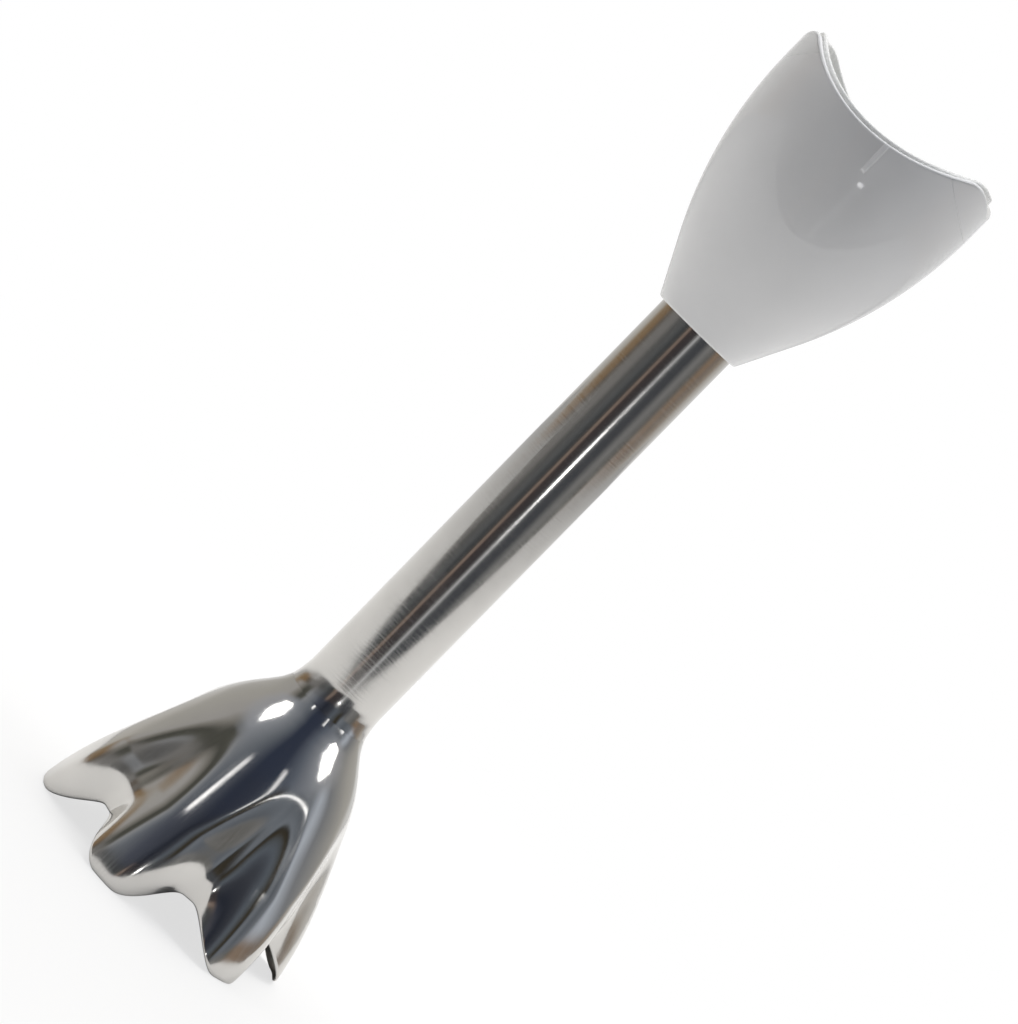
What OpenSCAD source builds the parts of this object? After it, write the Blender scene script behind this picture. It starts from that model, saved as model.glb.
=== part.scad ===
// Blending foot of an immersion blender: a flared collar that plugs onto the motor
// unit, a steel tube, a fluted bell guard, and the spinning shaft with its blade.
// Millimetres. +Z runs up the tube's axis, and the foot stands on its bell's lobes at z = 0.

/* [Bell] */
// Diameter across two opposite lobes at the rim
bell_d = 66; // [54:0.2:80]
// Height of the fluted skirt, from the lobes' tips to the neck ferrule
bell_h = 51.8; // [46:0.2:62]
// Thickness of the pressed sheet
bell_wall = 0.7; // [0.5:0.05:1]
// Number of flutes round the skirt
flutes = 6; // [5:1:8]
// How far a flute is pressed in at the rim
flute_depth = 3.8; // [1:0.1:4.5]
// Height of the scallop that each flute cuts in the rim
notch_h = 7.8; // [3:0.2:12]
// How strongly the flutes curl further in towards the rim
flute_curl = 0.015; // [0:0.001:0.02]
// Height under which the flutes begin to curl in
curl_top = 20; // [12:0.5:24]
// Sideways lean of the flutes at the rim, in degrees
slant_low = -4; // [-6:0.5:6]
// Sideways lean of the flutes where their arches close, in degrees
slant_high = 9; // [-12:0.5:12]
// Turn of the skirt against the collar, in degrees
bell_turn = -4.6; // [-30:0.2:30]

/* [Neck ferrule] */
// Height of the ferrule between skirt and tube
ferrule_h = 6.2; // [5:0.2:9]
// How much wider the ferrule's foot is than the tube, on the radius
ferrule_flare = 0.8; // [0.5:0.1:1.4]

/* [Tube] */
// Outer diameter of the tube
tube_d = 19; // [16:0.1:22]
// Wall of the tube
tube_wall = 0.7; // [0.5:0.05:0.9]
// Length of tube that shows between ferrule and collar
tube_show = 103.2; // [60:0.2:160]
// Width of the flange rolled out at the tube's top end
tube_flange = 1.5; // [1:0.1:1.6]

/* [Collar] */
// Height of the outer shell, from its lower edge to the top of its ears
collar_h = 60.2; // [58:0.2:74]
// Wall of the outer shell
collar_wall = 2; // [1.6:0.1:2.3]
// Height of the straight cone at the collar's foot, under the long arc of its flare
flare_straight = 12; // [8:0.5:16]
// How much wider the collar's foot is than the tube, on the radius
foot_flare = 1.1; // [0.9:0.1:2]
// Depth of the saddle dip below the ears
dip_depth = 7.8; // [5:0.2:9]
// Radius of the saddle dip
dip_r = 34.4; // [32:0.2:42]
// Depth below the rim's dip at which the collar reaches its full width
widest_drop = 0.7; // [0:0.1:3]
// Rounding of the ears' tips
ear_round = 4.5; // [3:0.25:6]
// Wall of the inner liner's lip
lip_wall = 1.6; // [1.2:0.1:2]
// How far the liner's lip stands proud of the shell
lip_proud = 1.1; // [0.6:0.1:1.6]

/* [Index mark] */
// Angle of the mark to the right of the saddle's middle, in degrees
mark_turn = 12.3; // [-30:0.1:30]
// Length of the mark below the rim
mark_len = 6.8; // [4:0.2:9]
// Width of the mark
mark_w = 1.1; // [0.6:0.1:2]
// How far the mark stands out
mark_out = 0.2; // [0.1:0.05:0.4]

/* [Motor socket] */
// Bore that the motor unit's neck plugs into
socket_d = 38; // [36:0.2:39]
// Depth of that bore
socket_depth = 17; // [14:0.5:17.5]
// Wall of the socket
socket_wall = 2; // [1.6:0.1:2.4]
// Width of the open ring between socket and lip
moat = 1.8; // [1:0.1:3]
// Drop from the saddle's lowest point to the top of the socket
socket_drop = 4.7; // [4:0.1:7]
// Width of each latch pocket, in degrees
latch_angle = 30; // [20:1:34]
// Depth of the latch pockets into the wall
latch_in = 1.1; // [0.8:0.1:1.2]
// Room round the drive star for the motor's drive cup
well_gap = 1.9; // [1.4:0.1:2.2]
// Depth of that well below the socket's floor
well_depth = 7.5; // [6.5:0.1:8]

/* [Screws] */
// Shank diameter of the clamp screws
screw_d = 2.4; // [2:0.1:2.6]
// Number of clamp screws
screws = 3; // [3:1:4]

/* [Shaft and bearings] */
// Diameter of the drive shaft
shaft_d = 5; // [4.5:0.1:5.6]
// Outer diameter of the bronze bushes
bush_d = 10; // [9:0.1:10.6]
// Length of the lower bush
lower_bush_h = 13; // [9:0.5:14]
// Length of the upper bush
upper_bush_h = 12; // [8:0.5:14]
// Outer diameter of the lip seal
seal_d = 12; // [11.4:0.1:13]
// Length of the mid-tube shaft guide
guide_h = 10; // [6:0.5:16]

/* [Blade] */
// Room between the blade's tips and the flutes of the bell
blade_gap = 1.9; // [1.4:0.1:5]
// Height of the blade's plate above the lobes' tips
blade_z = 13.6; // [12.5:0.1:17]
// Length of the boss between blade and seal
boss_h = 15.2; // [12:0.2:16]
// Thickness of the blade's sheet
blade_t = 1.2; // [0.8:0.1:1.6]
// Number of wings, bent up and down in turn
wings = 4; // [2:2:4]
// Height that each wing's tip is bent up or down
wing_rise = 5; // [2:0.2:6]
// Width of a wing at its root
wing_w = 9; // [6:0.5:9.5]

/* [Drive star] */
// Diameter over the star's teeth
star_d = 13.2; // [11.4:0.2:13.6]
// Height of the star's teeth
star_h = 3.5; // [2.5:0.1:4]
// Number of teeth
star_teeth = 6; // [5:1:8]

/* [Hidden] */
$fn = 96;

eps = 0.01;            // overlap of cutting tools past a face
run_gap = 0.03;        // radial clearance of the shaft in its bushes
slip_gap = 0.1;        // clearance between parts that only slide together
free_gap = 0.6;        // room between spinning and standing parts

// radii
tube_r = tube_d / 2;
tube_in = tube_r - tube_wall;
bell_r = bell_d / 2;
neck_r = tube_r + ferrule_flare;
foot_r = tube_r + foot_flare;      // outside of the collar's foot
lip_r = socket_d / 2 + socket_wall + moat;    // inside of the liner's lip
collar_r = lip_r + lip_wall + slip_gap + collar_wall;
socket_r = socket_d / 2;
shaft_r = shaft_d / 2;
bush_r = bush_d / 2;
seal_r = seal_d / 2;
screw_r = screw_d / 2;
groove_r = shaft_r - 0.4;          // bottom of the clip grooves
washer_r = bush_r - 0.4;           // outside of thrust washers
clip_r = washer_r - 0.4;           // outside of clips
star_hub_r = clip_r + 0.2;
well_r = star_d / 2 + well_gap;

// heights up the outside
ferrule_top = bell_h + ferrule_h;
collar_z = ferrule_top + tube_show;
shell_top = collar_z + collar_h;
liner_top = shell_top + lip_proud;
dip_z = liner_top - dip_depth;     // lowest point of the liner's saddle
widest_z = dip_z - widest_drop;    // where the flare's arc ends and the wall runs straight

// collar's inside
socket_top = dip_z - socket_drop;
socket_floor = socket_top - socket_depth;
floor_h = 2.5;
latch_up = 7;                      // height of the latch pockets over the socket's floor
latch_h = 4;
key_angle = 8;
key_in = 0.9;
well_floor = socket_floor - well_depth;
well_wall = 2;
holder_flange_h = 2;
holder_top = well_floor - 2;       // top face of the bearing holder's flange
tube_top = holder_top - holder_flange_h;
ring_top = tube_top - tube_wall;   // under the tube's flange
ring_h = 6;
flange_r = tube_r + tube_flange;
screw_ring_r = flange_r + screw_r + 0.8;   // a thin wall of the columns clears the flange
column_r = screw_r + 1.4;
head_r = screw_r + 1;
head_h = 1.6;
head_sink = 0.2;
screw_tip = ring_top - ring_h + 1;

// hub inside the bell, from its lowest face up
nut_h = 3;
shaft_low = blade_z - nut_h - 0.6; // the shaft ends in the nut's dome
boss_top = blade_z + blade_t + boss_h;
cap_z = boss_top + free_gap;
cap_t = 1.2;
hub_z = cap_z + cap_t;
seal_h = 4.4;
clip_h = 0.7;
washer_h = 0.8;
clip_room = 1;
low_clip_z = hub_z + seal_h + clip_room;
low_washer_z = low_clip_z + clip_h + slip_gap;
low_bush_z = low_washer_z + washer_h + slip_gap;
hub_low_r = seal_r + 1.7;
hub_flange_h = 2;
spigot_h = 2.3;                    // ferrule's spigot inside the bell's throat
hub_flange_top = bell_h - spigot_h;
hub_top = ferrule_top + 12;
ring_d = 1.5;                      // section of the O-rings
groove_gap = 0.15;                 // room over and under an O-ring in its groove
hub_ring_z = ferrule_top + 5.9;
foot_h = 5.4;                      // solid foot of the collar's shell, round the tube
foot_ring_z = collar_z + 3.3;

// rotor's top end
up_bush_top = tube_top + 0.4;
up_washer_z = up_bush_top + slip_gap;
up_clip_z = up_washer_z + washer_h + slip_gap;
star_hub_z = up_clip_z + clip_h + 0.3;
star_z = well_floor + 1;
star_top = star_z + star_h;
shaft_top = socket_floor - 0.3;
pin_r = 0.75;
pin_z = (star_hub_z + star_z) / 2;

// ---------- curves ----------

// Height share and flare share of the lobes' outline, from rim to neck
lobe_outline = [
    [0, 1], [0.125, 0.956], [0.25, 0.882], [0.386, 0.773], [0.54, 0.615],
    [0.695, 0.452], [0.79, 0.336], [0.869, 0.205], [0.932, 0.085], [1, 0]
];

function clamp01(x) = max(0, min(1, x));
function smooth(x) = let (c = clamp01(x)) c * c * (3 - 2 * c);

// One Catmull-Rom value through p0..p3 at share t
function catmull(p0, p1, p2, p3, t) =
    0.5 * (2 * p1 + (p2 - p0) * t + (2 * p0 - 5 * p1 + 4 * p2 - p3) * t * t
           + (3 * p1 - p0 - 3 * p2 + p3) * t * t * t);

// The outline's flare share at a height share, read smoothly between its points
function flare_share(g, i = 0) =
    (i < len(lobe_outline) - 2 && g > lobe_outline[i + 1][0]) ? flare_share(g, i + 1)
    : let (
        last = len(lobe_outline) - 1,
        a = lobe_outline[i], b = lobe_outline[i + 1],
        before = lobe_outline[max(0, i - 1)][1],
        after = lobe_outline[min(last, i + 2)][1],
        t = (g - a[0]) / (b[0] - a[0])
      ) catmull(before, a[1], b[1], after, t);

function lobe_r(z) = neck_r + (bell_r - neck_r) * flare_share(clamp01(z / bell_h));

// Flutes start below the shoulder as a narrow arch and widen downwards
flute_top = 0.74 * bell_h;
function flute_run(z) = clamp01((flute_top - z) / flute_top);
function flute_width(z) = min(1, 0.25 + sqrt(flute_run(z) / 0.5) * 0.75);
function flute_in(z) = flute_depth * smooth(flute_run(z) / 0.55);

// Angle from the nearest flute's middle, as a share of half a flute
function from_flute(a) =
    let (pitch = 360 / flutes, m = (a + 3600) % pitch) abs(m - pitch / 2) / (pitch / 2);

// One at a flute's middle and nothing on a lobe, with a flat run at either end
flat_in = 0.08;
flat_lobe = 0.14;
flat_tip = 0.15;       // the rim stays low further round each lobe than the skirt stays wide
function press(q, flat_out) = 1 - smooth((q - flat_in) / (1 - flat_in - flat_out));

// Flutes lean sideways as they rise, and curl further in towards the rim
function flute_lean(z) = slant_low + (slant_high - slant_low) * clamp01(z / (0.66 * bell_h));
function curl_in(z) = flute_curl * pow(max(0, curl_top - z), 2);
function flute_floor(z) = lobe_r(z) - flute_in(z) - curl_in(z);
function skirt_r(a, z) =
    let (p = press(min(1, from_flute(a - flute_lean(z)) / flute_width(z)), flat_lobe))
    lobe_r(z) - p * (flute_in(z) + p * curl_in(z));
function rim_z(a) = notch_h * press(from_flute(a), flat_tip);

// The sheet's thickness measured level, where the skirt leans
function level_wall(z) =
    let (lean = lobe_r(max(0, z - 0.5)) - lobe_r(min(bell_h, z + 0.5)))
    bell_wall * sqrt(1 + lean * lean);

// ---------- small shared shapes ----------

// A ring or disc between two heights
module ring(r_out, r_in, z0, z1) {
    translate([0, 0, z0]) difference() {
        cylinder(r = r_out, h = z1 - z0);
        if (r_in > 0) translate([0, 0, -1]) cylinder(r = r_in, h = z1 - z0 + 2);
    }
}

module bore(r, z0, z1) {
    translate([0, 0, z0]) cylinder(r = r, h = z1 - z0);
}

module o_ring(r, z) {
    translate([0, 0, z]) rotate_extrude() translate([r, 0]) circle(d = ring_d, $fn = 32);
}

module o_groove(r_out, r_in, z) {
    half = ring_d / 2 + groove_gap;
    ring(r_out, r_in, z - half, z + half);
}

// A spring clip with its open mouth, sitting in a shaft groove
module clip(z) {
    difference() {
        ring(clip_r, groove_r, z, z + clip_h);
        translate([0, -0.8 * shaft_r, z - 1]) cube([clip_r + 1, 1.6 * shaft_r, clip_h + 2]);
    }
}

// Places children on the clamp screws' circle
module at_screws() {
    for (i = [0 : screws - 1])
        rotate([0, 0, 90 + 360 * i / screws]) translate([screw_ring_r, 0, 0]) children();
}

// ---------- collar outline ----------

// The flare is a straight cone and then an arc that ends upright at the full width. This
// finds the tangent of half the cone's angle, by halving the span that must hold it.
arc_h = widest_z - collar_z - flare_straight;
function half_tan(low, high, turns) =
    let (t = (low + high) / 2, reach = arc_h * t + flare_straight * 2 * t / (1 - t * t))
    turns == 0 ? t
    : reach > collar_r - foot_r ? half_tan(low, t, turns - 1) : half_tan(t, high, turns - 1);
flare_angle = 2 * atan(half_tan(0, 0.9, 30));
flare_arc_r = arc_h / sin(flare_angle);
arc_x = collar_r - flare_arc_r;

// Outer radius of the cone at a height, drawn in by a wall thickness
function cone_r(inset, z) = foot_r + (z - collar_z) * tan(flare_angle) - inset / cos(flare_angle);

// Half outline of the collar between two heights, drawn in by a wall thickness
module collar_half(inset, z_low, z_high) {
    r = flare_arc_r - inset;
    arc_low = widest_z - r * sin(flare_angle);
    bottom = min(z_low, arc_low) - 1;
    intersection() {
        translate([0, z_low]) square([collar_r + 1, z_high - z_low]);
        union() {
            translate([0, widest_z]) square([collar_r - inset, z_high - widest_z + 1]);
            intersection() {
                translate([arc_x, widest_z]) circle(r = r, $fn = 360);
                translate([0, arc_low]) square([collar_r + 1, widest_z - arc_low]);
            }
            polygon([
                [0, arc_low], [arc_x + r * cos(flare_angle), arc_low],
                [cone_r(inset, bottom), bottom], [0, bottom]
            ]);
        }
    }
}

// What the saddle leaves of the collar: a block seen from the front, with two round
// shoulders and one round dip, long enough to cross the whole collar
module saddle_keep(z_peak) {
    wide = 2 * collar_r + 2;
    flat_x = collar_r - ear_round + 0.2;   // the rounding cuts the wall and never just touches it
    translate([0, collar_r + 1, 0]) rotate([90, 0, 0]) linear_extrude(wide) difference() {
        union() {
            translate([-wide / 2, collar_z - 1])
                square([wide, z_peak - ear_round - collar_z + 1]);
            translate([-flat_x, collar_z - 1]) square([2 * flat_x, z_peak - collar_z + 1]);
            for (side = [-1, 1])
                translate([side * flat_x, z_peak - ear_round]) circle(r = ear_round);
        }
        translate([0, z_peak - dip_depth + dip_r]) circle(r = dip_r, $fn = 180);
    }
}

// ---------- standing pieces ----------

module bell_guard() {
    steps = 16 * flutes;
    rows = 18;
    turn = bell_turn - 90;
    angles = [for (i = [0 : steps - 1]) 360 * i / steps];
    // rows bunch up a little at the shoulder, where the outline bends most
    function row_z(a, k) = rim_z(a) + (bell_h - rim_z(a)) * pow(k / rows, 0.92);
    outer = [for (k = [0 : rows], a = angles)
        let (z = row_z(a, k), r = skirt_r(a, z))
        [r * cos(a + turn), r * sin(a + turn), z]];
    inner = [for (k = [0 : rows], a = angles)
        let (z = row_z(a, k), r = skirt_r(a, z) - level_wall(z))
        [r * cos(a + turn), r * sin(a + turn), z]];
    base = (rows + 1) * steps;
    function at(k, i) = k * steps + i % steps;
    color([0.80, 0.79, 0.78]) polyhedron(
        points = concat(outer, inner),
        faces = [
            for (k = [0 : rows - 1], i = [0 : steps - 1]) each [
                [at(k, i), at(k + 1, i), at(k + 1, i + 1)],
                [at(k, i), at(k + 1, i + 1), at(k, i + 1)],
                [base + at(k, i), base + at(k + 1, i + 1), base + at(k + 1, i)],
                [base + at(k, i), base + at(k, i + 1), base + at(k + 1, i + 1)]
            ],
            for (i = [0 : steps - 1]) each [
                [at(0, i), at(0, i + 1), base + at(0, i + 1)],
                [at(0, i), base + at(0, i + 1), base + at(0, i)],
                [at(rows, i), base + at(rows, i), base + at(rows, i + 1)],
                [at(rows, i), base + at(rows, i + 1), at(rows, i + 1)]
            ]
        ]
    );
}

// Ferrule with a hollow flare outside and a spigot down into the bell's throat
module neck_ferrule() {
    flare_r = (ferrule_h * ferrule_h + ferrule_flare * ferrule_flare) / (2 * ferrule_flare);
    spigot_r = neck_r - level_wall(bell_h) - slip_gap;
    color([0.80, 0.79, 0.78]) difference() {
        union() {
            rotate_extrude() difference() {
                translate([0, bell_h]) square([neck_r, ferrule_h]);
                translate([tube_r + flare_r, ferrule_top]) circle(r = flare_r, $fn = 360);
            }
            ring(spigot_r, 0, hub_flange_top, bell_h);
        }
        bore(tube_in, hub_flange_top - 1, ferrule_top + 1);
    }
}

module tube() {
    color([0.78, 0.77, 0.76]) difference() {
        union() {
            ring(tube_r, 0, ferrule_top, tube_top);
            ring(flange_r, 0, tube_top - tube_wall, tube_top);
        }
        bore(tube_in, ferrule_top - 1, tube_top + 1);
    }
}

// Holds the lower bush and the seal; pressed into ferrule and tube
module hub_housing() {
    flange = tube_in + 0.8;
    color([0.86, 0.86, 0.84]) difference() {
        union() {
            ring(tube_in, 0, hub_flange_top, hub_top);
            ring(flange, 0, hub_flange_top - hub_flange_h, hub_flange_top);
            translate([0, 0, hub_z])
                cylinder(r1 = hub_low_r, r2 = tube_in, h = hub_flange_top - hub_flange_h - hub_z);
        }
        bore(seal_r, hub_z - 1, hub_z + seal_h + slip_gap);
        bore(bush_r, hub_z + seal_h, low_bush_z + lower_bush_h);
        bore(shaft_r + free_gap, low_bush_z + lower_bush_h - 1, hub_top + 1);
        o_groove(tube_in + 1, tube_in - ring_d, hub_ring_z);
    }
}

module housing_o_ring() {
    color([0.12, 0.12, 0.12]) o_ring(tube_in - ring_d / 2, hub_ring_z);
}

module lower_bush() {
    color([0.62, 0.46, 0.28])
        ring(bush_r, shaft_r + run_gap, low_bush_z, low_bush_z + lower_bush_h);
}

// Lip seal: a ring with a hollow underside that leaves a thin lip round the shaft
module shaft_seal() {
    color([0.16, 0.16, 0.17]) difference() {
        ring(seal_r, shaft_r + run_gap, hub_z, hub_z + seal_h);
        ring(seal_r - 1.2, shaft_r + run_gap + 0.9, hub_z - 1, hub_z + seal_h - 1.4);
    }
}

// Steel cup pressed over the hub's lower end to keep the seal in
module seal_cap() {
    cup_r = hub_low_r + 0.8;
    cup_h = 3.2;
    color([0.78, 0.78, 0.78]) difference() {
        bore(cup_r, cap_z, hub_z + cup_h);
        bore(shaft_r + free_gap, cap_z - 1, hub_z + 1);
        translate([0, 0, hub_z]) cylinder(
            r1 = hub_low_r,
            r2 = hub_low_r + (tube_in - hub_low_r) * (cup_h + 1)
                 / (hub_flange_top - hub_flange_h - hub_z),
            h = cup_h + 1
        );
    }
}

// Plastic guide half way up the tube, with lightening holes
module shaft_guide() {
    mid = (ferrule_top + collar_z) / 2 + 2;
    hole_r = (tube_in - shaft_r) * 0.28;
    color([0.9, 0.9, 0.88]) difference() {
        ring(tube_in, shaft_r + 0.25, mid - guide_h / 2, mid + guide_h / 2);
        for (i = [0 : 5]) rotate([0, 0, 60 * i])
            translate([(tube_in + shaft_r + 0.25) / 2, 0, mid - guide_h / 2 - 1])
                cylinder(r = hole_r, h = guide_h + 2, $fn = 32);
    }
}

// Pressed into the tube's top end, with a flange on the tube's own flange
module bearing_holder() {
    color([0.86, 0.86, 0.84]) difference() {
        union() {
            ring(tube_in, 0, up_bush_top - upper_bush_h - 2, tube_top);
            ring(flange_r, 0, tube_top, holder_top);
        }
        bore(shaft_r + free_gap, up_bush_top - upper_bush_h - 3, holder_top + 1);
        bore(bush_r, up_bush_top - upper_bush_h, holder_top + 1);
    }
}

module upper_bush() {
    color([0.62, 0.46, 0.28])
        ring(bush_r, shaft_r + run_gap, up_bush_top - upper_bush_h, up_bush_top);
}

// Ring under the tube's flange; the screws pull it up towards the liner
module clamp_ring() {
    low_z = ring_top - ring_h;
    color([0.84, 0.84, 0.82]) difference() {
        rotate_extrude() collar_half(collar_wall + slip_gap, low_z, ring_top);
        bore(tube_r + slip_gap, low_z - 1, ring_top + 1);
        at_screws() bore(screw_r, low_z - 1, ring_top + 1, $fn = 48);
    }
}

// Cross-recessed self-tapping screws, sunk in the socket's floor
module clamp_screws() {
    head_z = socket_floor - head_sink - head_h;
    color([0.72, 0.72, 0.72]) at_screws() difference() {
        union() {
            translate([0, 0, head_z]) cylinder(r = head_r, h = head_h, $fn = 48);
            translate([0, 0, screw_tip]) cylinder(r = screw_r, h = head_z - screw_tip, $fn = 48);
        }
        for (a = [0, 90]) rotate([0, 0, a])
            translate([-head_r * 0.6, -0.3, head_z + 0.6]) cube([head_r * 1.2, 0.6, head_h]);
    }
}

module collar_o_ring() {
    color([0.12, 0.12, 0.12]) o_ring(tube_r + ring_d / 2, foot_ring_z);
}

// Snap lugs on the liner, or the groove for them in the shell
lug_z = socket_top - 3.2;
lug_h = 1.4;
lug_out = 0.8;
module snap_lugs() {
    for (i = [0 : 3]) rotate([0, 0, 35 + 90 * i]) rotate_extrude(angle = 20) intersection() {
        collar_half(collar_wall + slip_gap - lug_out, lug_z, lug_z + lug_h);
        translate([socket_r + socket_wall, lug_z]) square([collar_r, lug_h]);
    }
}

// One-piece inner moulding: socket, well for the star, screw columns and the rim's lip
module coupling_liner() {
    lip_low = lug_z - 0.8;
    web_top = socket_top - 2;
    color([0.90, 0.90, 0.88]) difference() {
        union() {
            intersection() {
                rotate_extrude() difference() {
                    collar_half(collar_wall + slip_gap, lip_low, liner_top + 1);
                    collar_half(collar_wall + slip_gap + lip_wall, socket_top, liner_top + 2);
                    translate([0, lip_low - 1])
                        square([socket_r + socket_wall, web_top - lip_low + 1]);
                }
                saddle_keep(liner_top);
            }
            // the socket gives way to the shell where the flare narrows
            rotate_extrude() intersection() {
                collar_half(collar_wall + slip_gap, socket_floor - floor_h, socket_top);
                square([socket_r + socket_wall, socket_top]);
            }
            ring(well_r + well_wall, 0, holder_top, socket_floor);
            at_screws() bore(column_r, ring_top, socket_floor - floor_h + 1, $fn = 48);
            snap_lugs();
        }
        bore(socket_r, socket_floor, socket_top + 1);
        bore(well_r, well_floor, socket_floor + 1);
        bore(star_hub_r + 0.8, holder_top - 1, well_floor + 1);
        at_screws() {
            bore(screw_r + slip_gap, ring_top - 1, socket_floor + 1, $fn = 48);
            bore(head_r + slip_gap, socket_floor - head_h - head_sink, socket_floor + 1, $fn = 48);
        }
        // the columns clear the flanges of tube and holder
        ring(flange_r + slip_gap, 0, ring_top - 1, holder_top);
        // latch pockets, and keyways at the front and back
        for (a = [0, 180]) {
            rotate([0, 0, a - latch_angle / 2]) rotate_extrude(angle = latch_angle)
                translate([socket_r - 1, socket_floor + latch_up]) square([latch_in + 1, latch_h]);
            rotate([0, 0, a + 90 - key_angle / 2]) rotate_extrude(angle = key_angle)
                translate([socket_r - 1, socket_floor + eps]) square([key_in + 1, socket_depth + 1]);
        }
    }
}

// Glossy outer cover: a thin revolved wall cut by the saddle, with an O-ring groove at the foot
module coupling_shell() {
    edge = 0.8;
    mark_top = dip_z - lip_proud + 0.2;
    color([0.93, 0.93, 0.92]) difference() {
        union() {
            intersection() {
                rotate_extrude() difference() {
                    collar_half(0, collar_z, shell_top + 1);
                    collar_half(collar_wall, collar_z + foot_h, shell_top + 2);
                }
                saddle_keep(shell_top);
            }
            intersection() {
                rotate([0, 0, -90 + mark_turn])
                    translate([collar_r - 2, -mark_w / 2, mark_top - mark_len])
                        cube([4, mark_w, mark_len]);
                rotate_extrude() collar_half(-mark_out, dip_z - 2 * mark_len, shell_top);
            }
        }
        bore(tube_r + slip_gap, collar_z - 1, collar_z + foot_h + 1);
        o_groove(tube_r + ring_d, 0, foot_ring_z);
        // rounded lower edge
        rotate_extrude() difference() {
            translate([foot_r - edge, collar_z - 1]) square([2 * edge, 1 + edge]);
            translate([foot_r - edge, collar_z + edge]) circle(r = edge + 0.18);
        }
        // room for the liner's snap lugs
        rotate_extrude() intersection() {
            collar_half(collar_wall - lug_out - slip_gap, lug_z - slip_gap, lug_z + lug_h + slip_gap);
            translate([socket_r, lug_z - 1]) square([collar_r, lug_h + 2]);
        }
    }
}

// ---------- spinning pieces ----------

module drive_shaft() {
    color([0.75, 0.75, 0.76]) difference() {
        bore(shaft_r, shaft_low, shaft_top);
        ring(shaft_r + 1, groove_r, low_clip_z, low_clip_z + clip_h);
        ring(shaft_r + 1, groove_r, up_clip_z, up_clip_z + clip_h);
        translate([0, 0, pin_z]) rotate([0, 90, 0])
            cylinder(r = pin_r, h = 4 * shaft_r, center = true, $fn = 32);
    }
}

// Toothed star that the motor's drive cup turns
module drive_star() {
    root_r = star_hub_r;
    tip_r = star_d / 2;
    color([0.15, 0.15, 0.16]) difference() {
        union() {
            ring(star_hub_r, 0, star_hub_z, star_top);
            for (i = [0 : star_teeth - 1]) rotate([0, 0, 360 * i / star_teeth])
                translate([0, 0, star_z]) linear_extrude(star_h) polygon([
                    [root_r - 1, -1.5], [tip_r - 0.4, -0.9], [tip_r, -0.5],
                    [tip_r, 0.5], [tip_r - 0.4, 0.9], [root_r - 1, 1.5]
                ]);
        }
        bore(shaft_r, star_hub_z - 1, star_top + 1);
        translate([0, 0, pin_z]) rotate([0, 90, 0])
            cylinder(r = pin_r, h = 4 * star_hub_r, center = true, $fn = 32);
    }
}

module star_pin() {
    color([0.75, 0.75, 0.76]) translate([0, 0, pin_z]) rotate([0, 90, 0])
        cylinder(r = pin_r, h = 2 * star_hub_r - 0.6, center = true, $fn = 32);
}

module upper_washer() {
    color([0.93, 0.93, 0.93]) ring(washer_r, shaft_r + run_gap, up_washer_z, up_washer_z + washer_h);
}

module lower_washer() {
    color([0.93, 0.93, 0.93]) ring(washer_r, shaft_r + run_gap, low_washer_z, low_washer_z + washer_h);
}

module upper_clip() {
    color([0.3, 0.3, 0.32]) clip(up_clip_z);
}

module lower_clip() {
    color([0.3, 0.3, 0.32]) clip(low_clip_z);
}

// Spacer that carries the blade below the seal, waisted between two collars
module blade_boss() {
    low = blade_z + blade_t;
    color([0.76, 0.76, 0.77]) difference() {
        union() {
            ring(shaft_r + 2.2, 0, low, low + 2);
            ring(shaft_r + 1.4, 0, low + 2, boss_top);
            ring(shaft_r + 2.2, 0, boss_top - 3, boss_top);
        }
        bore(shaft_r, low - 1, boss_top + 1);
    }
}

// Stamped cross: wings bend up and down in turn and narrow towards rounded tips
module blade() {
    root = shaft_r + 2.5;
    tip_r = 2.4;
    high = blade_z + blade_t + wing_rise;
    low = blade_z - wing_rise;
    tip_x = min(flute_floor(high) - level_wall(high), flute_floor(low) - level_wall(low)) - blade_gap;
    bend = atan(wing_rise / (tip_x - root));
    run = (tip_x - root - blade_t / 2 * sin(bend)) / cos(bend);
    color([0.80, 0.80, 0.81]) difference() {
        union() {
            ring(root + 1.4, 0, blade_z, blade_z + blade_t);
            for (i = [0 : wings - 1]) rotate([0, 0, 360 * i / wings])
                translate([root, 0, blade_z + blade_t / 2])
                    rotate([0, (i % 2 == 0 ? 1 : -1) * bend, 0])
                        translate([0, 0, -blade_t / 2]) linear_extrude(blade_t) union() {
                            polygon([
                                [-0.2, -wing_w / 2], [run * 0.55, -wing_w / 2 + 0.4],
                                [run - 0.4, -0.6], [run - tip_r, tip_r], [-0.2, wing_w / 2 - 1]
                            ]);
                            translate([run - tip_r, 0]) circle(r = tip_r, $fn = 48);
                        }
        }
        bore(shaft_r, blade_z - 1, blade_z + blade_t + 1);
    }
}

// Domed hexagon nut on the shaft's lower end
module blade_nut() {
    hex_r = shaft_r + 1.9;
    dome_r = shaft_r + 0.9;
    color([0.78, 0.78, 0.79]) difference() {
        translate([0, 0, blade_z - nut_h]) union() {
            cylinder(r = hex_r, h = nut_h, $fn = 6);
            intersection() {
                sphere(r = dome_r, $fn = 48);
                translate([-hex_r, -hex_r, -2 * hex_r + eps]) cube(2 * hex_r);
            }
        }
        bore(shaft_r, shaft_low, blade_z + 1);
    }
}

// ---------- what is built ----------

bell_guard();
neck_ferrule();
tube();
hub_housing();
lower_bush();
shaft_seal();
seal_cap();
housing_o_ring();
shaft_guide();
bearing_holder();
upper_bush();
clamp_ring();
clamp_screws();
collar_o_ring();
coupling_liner();
coupling_shell();
drive_shaft();
drive_star();
star_pin();
upper_washer();
upper_clip();
lower_washer();
lower_clip();
blade_boss();
blade();
blade_nut();
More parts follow.
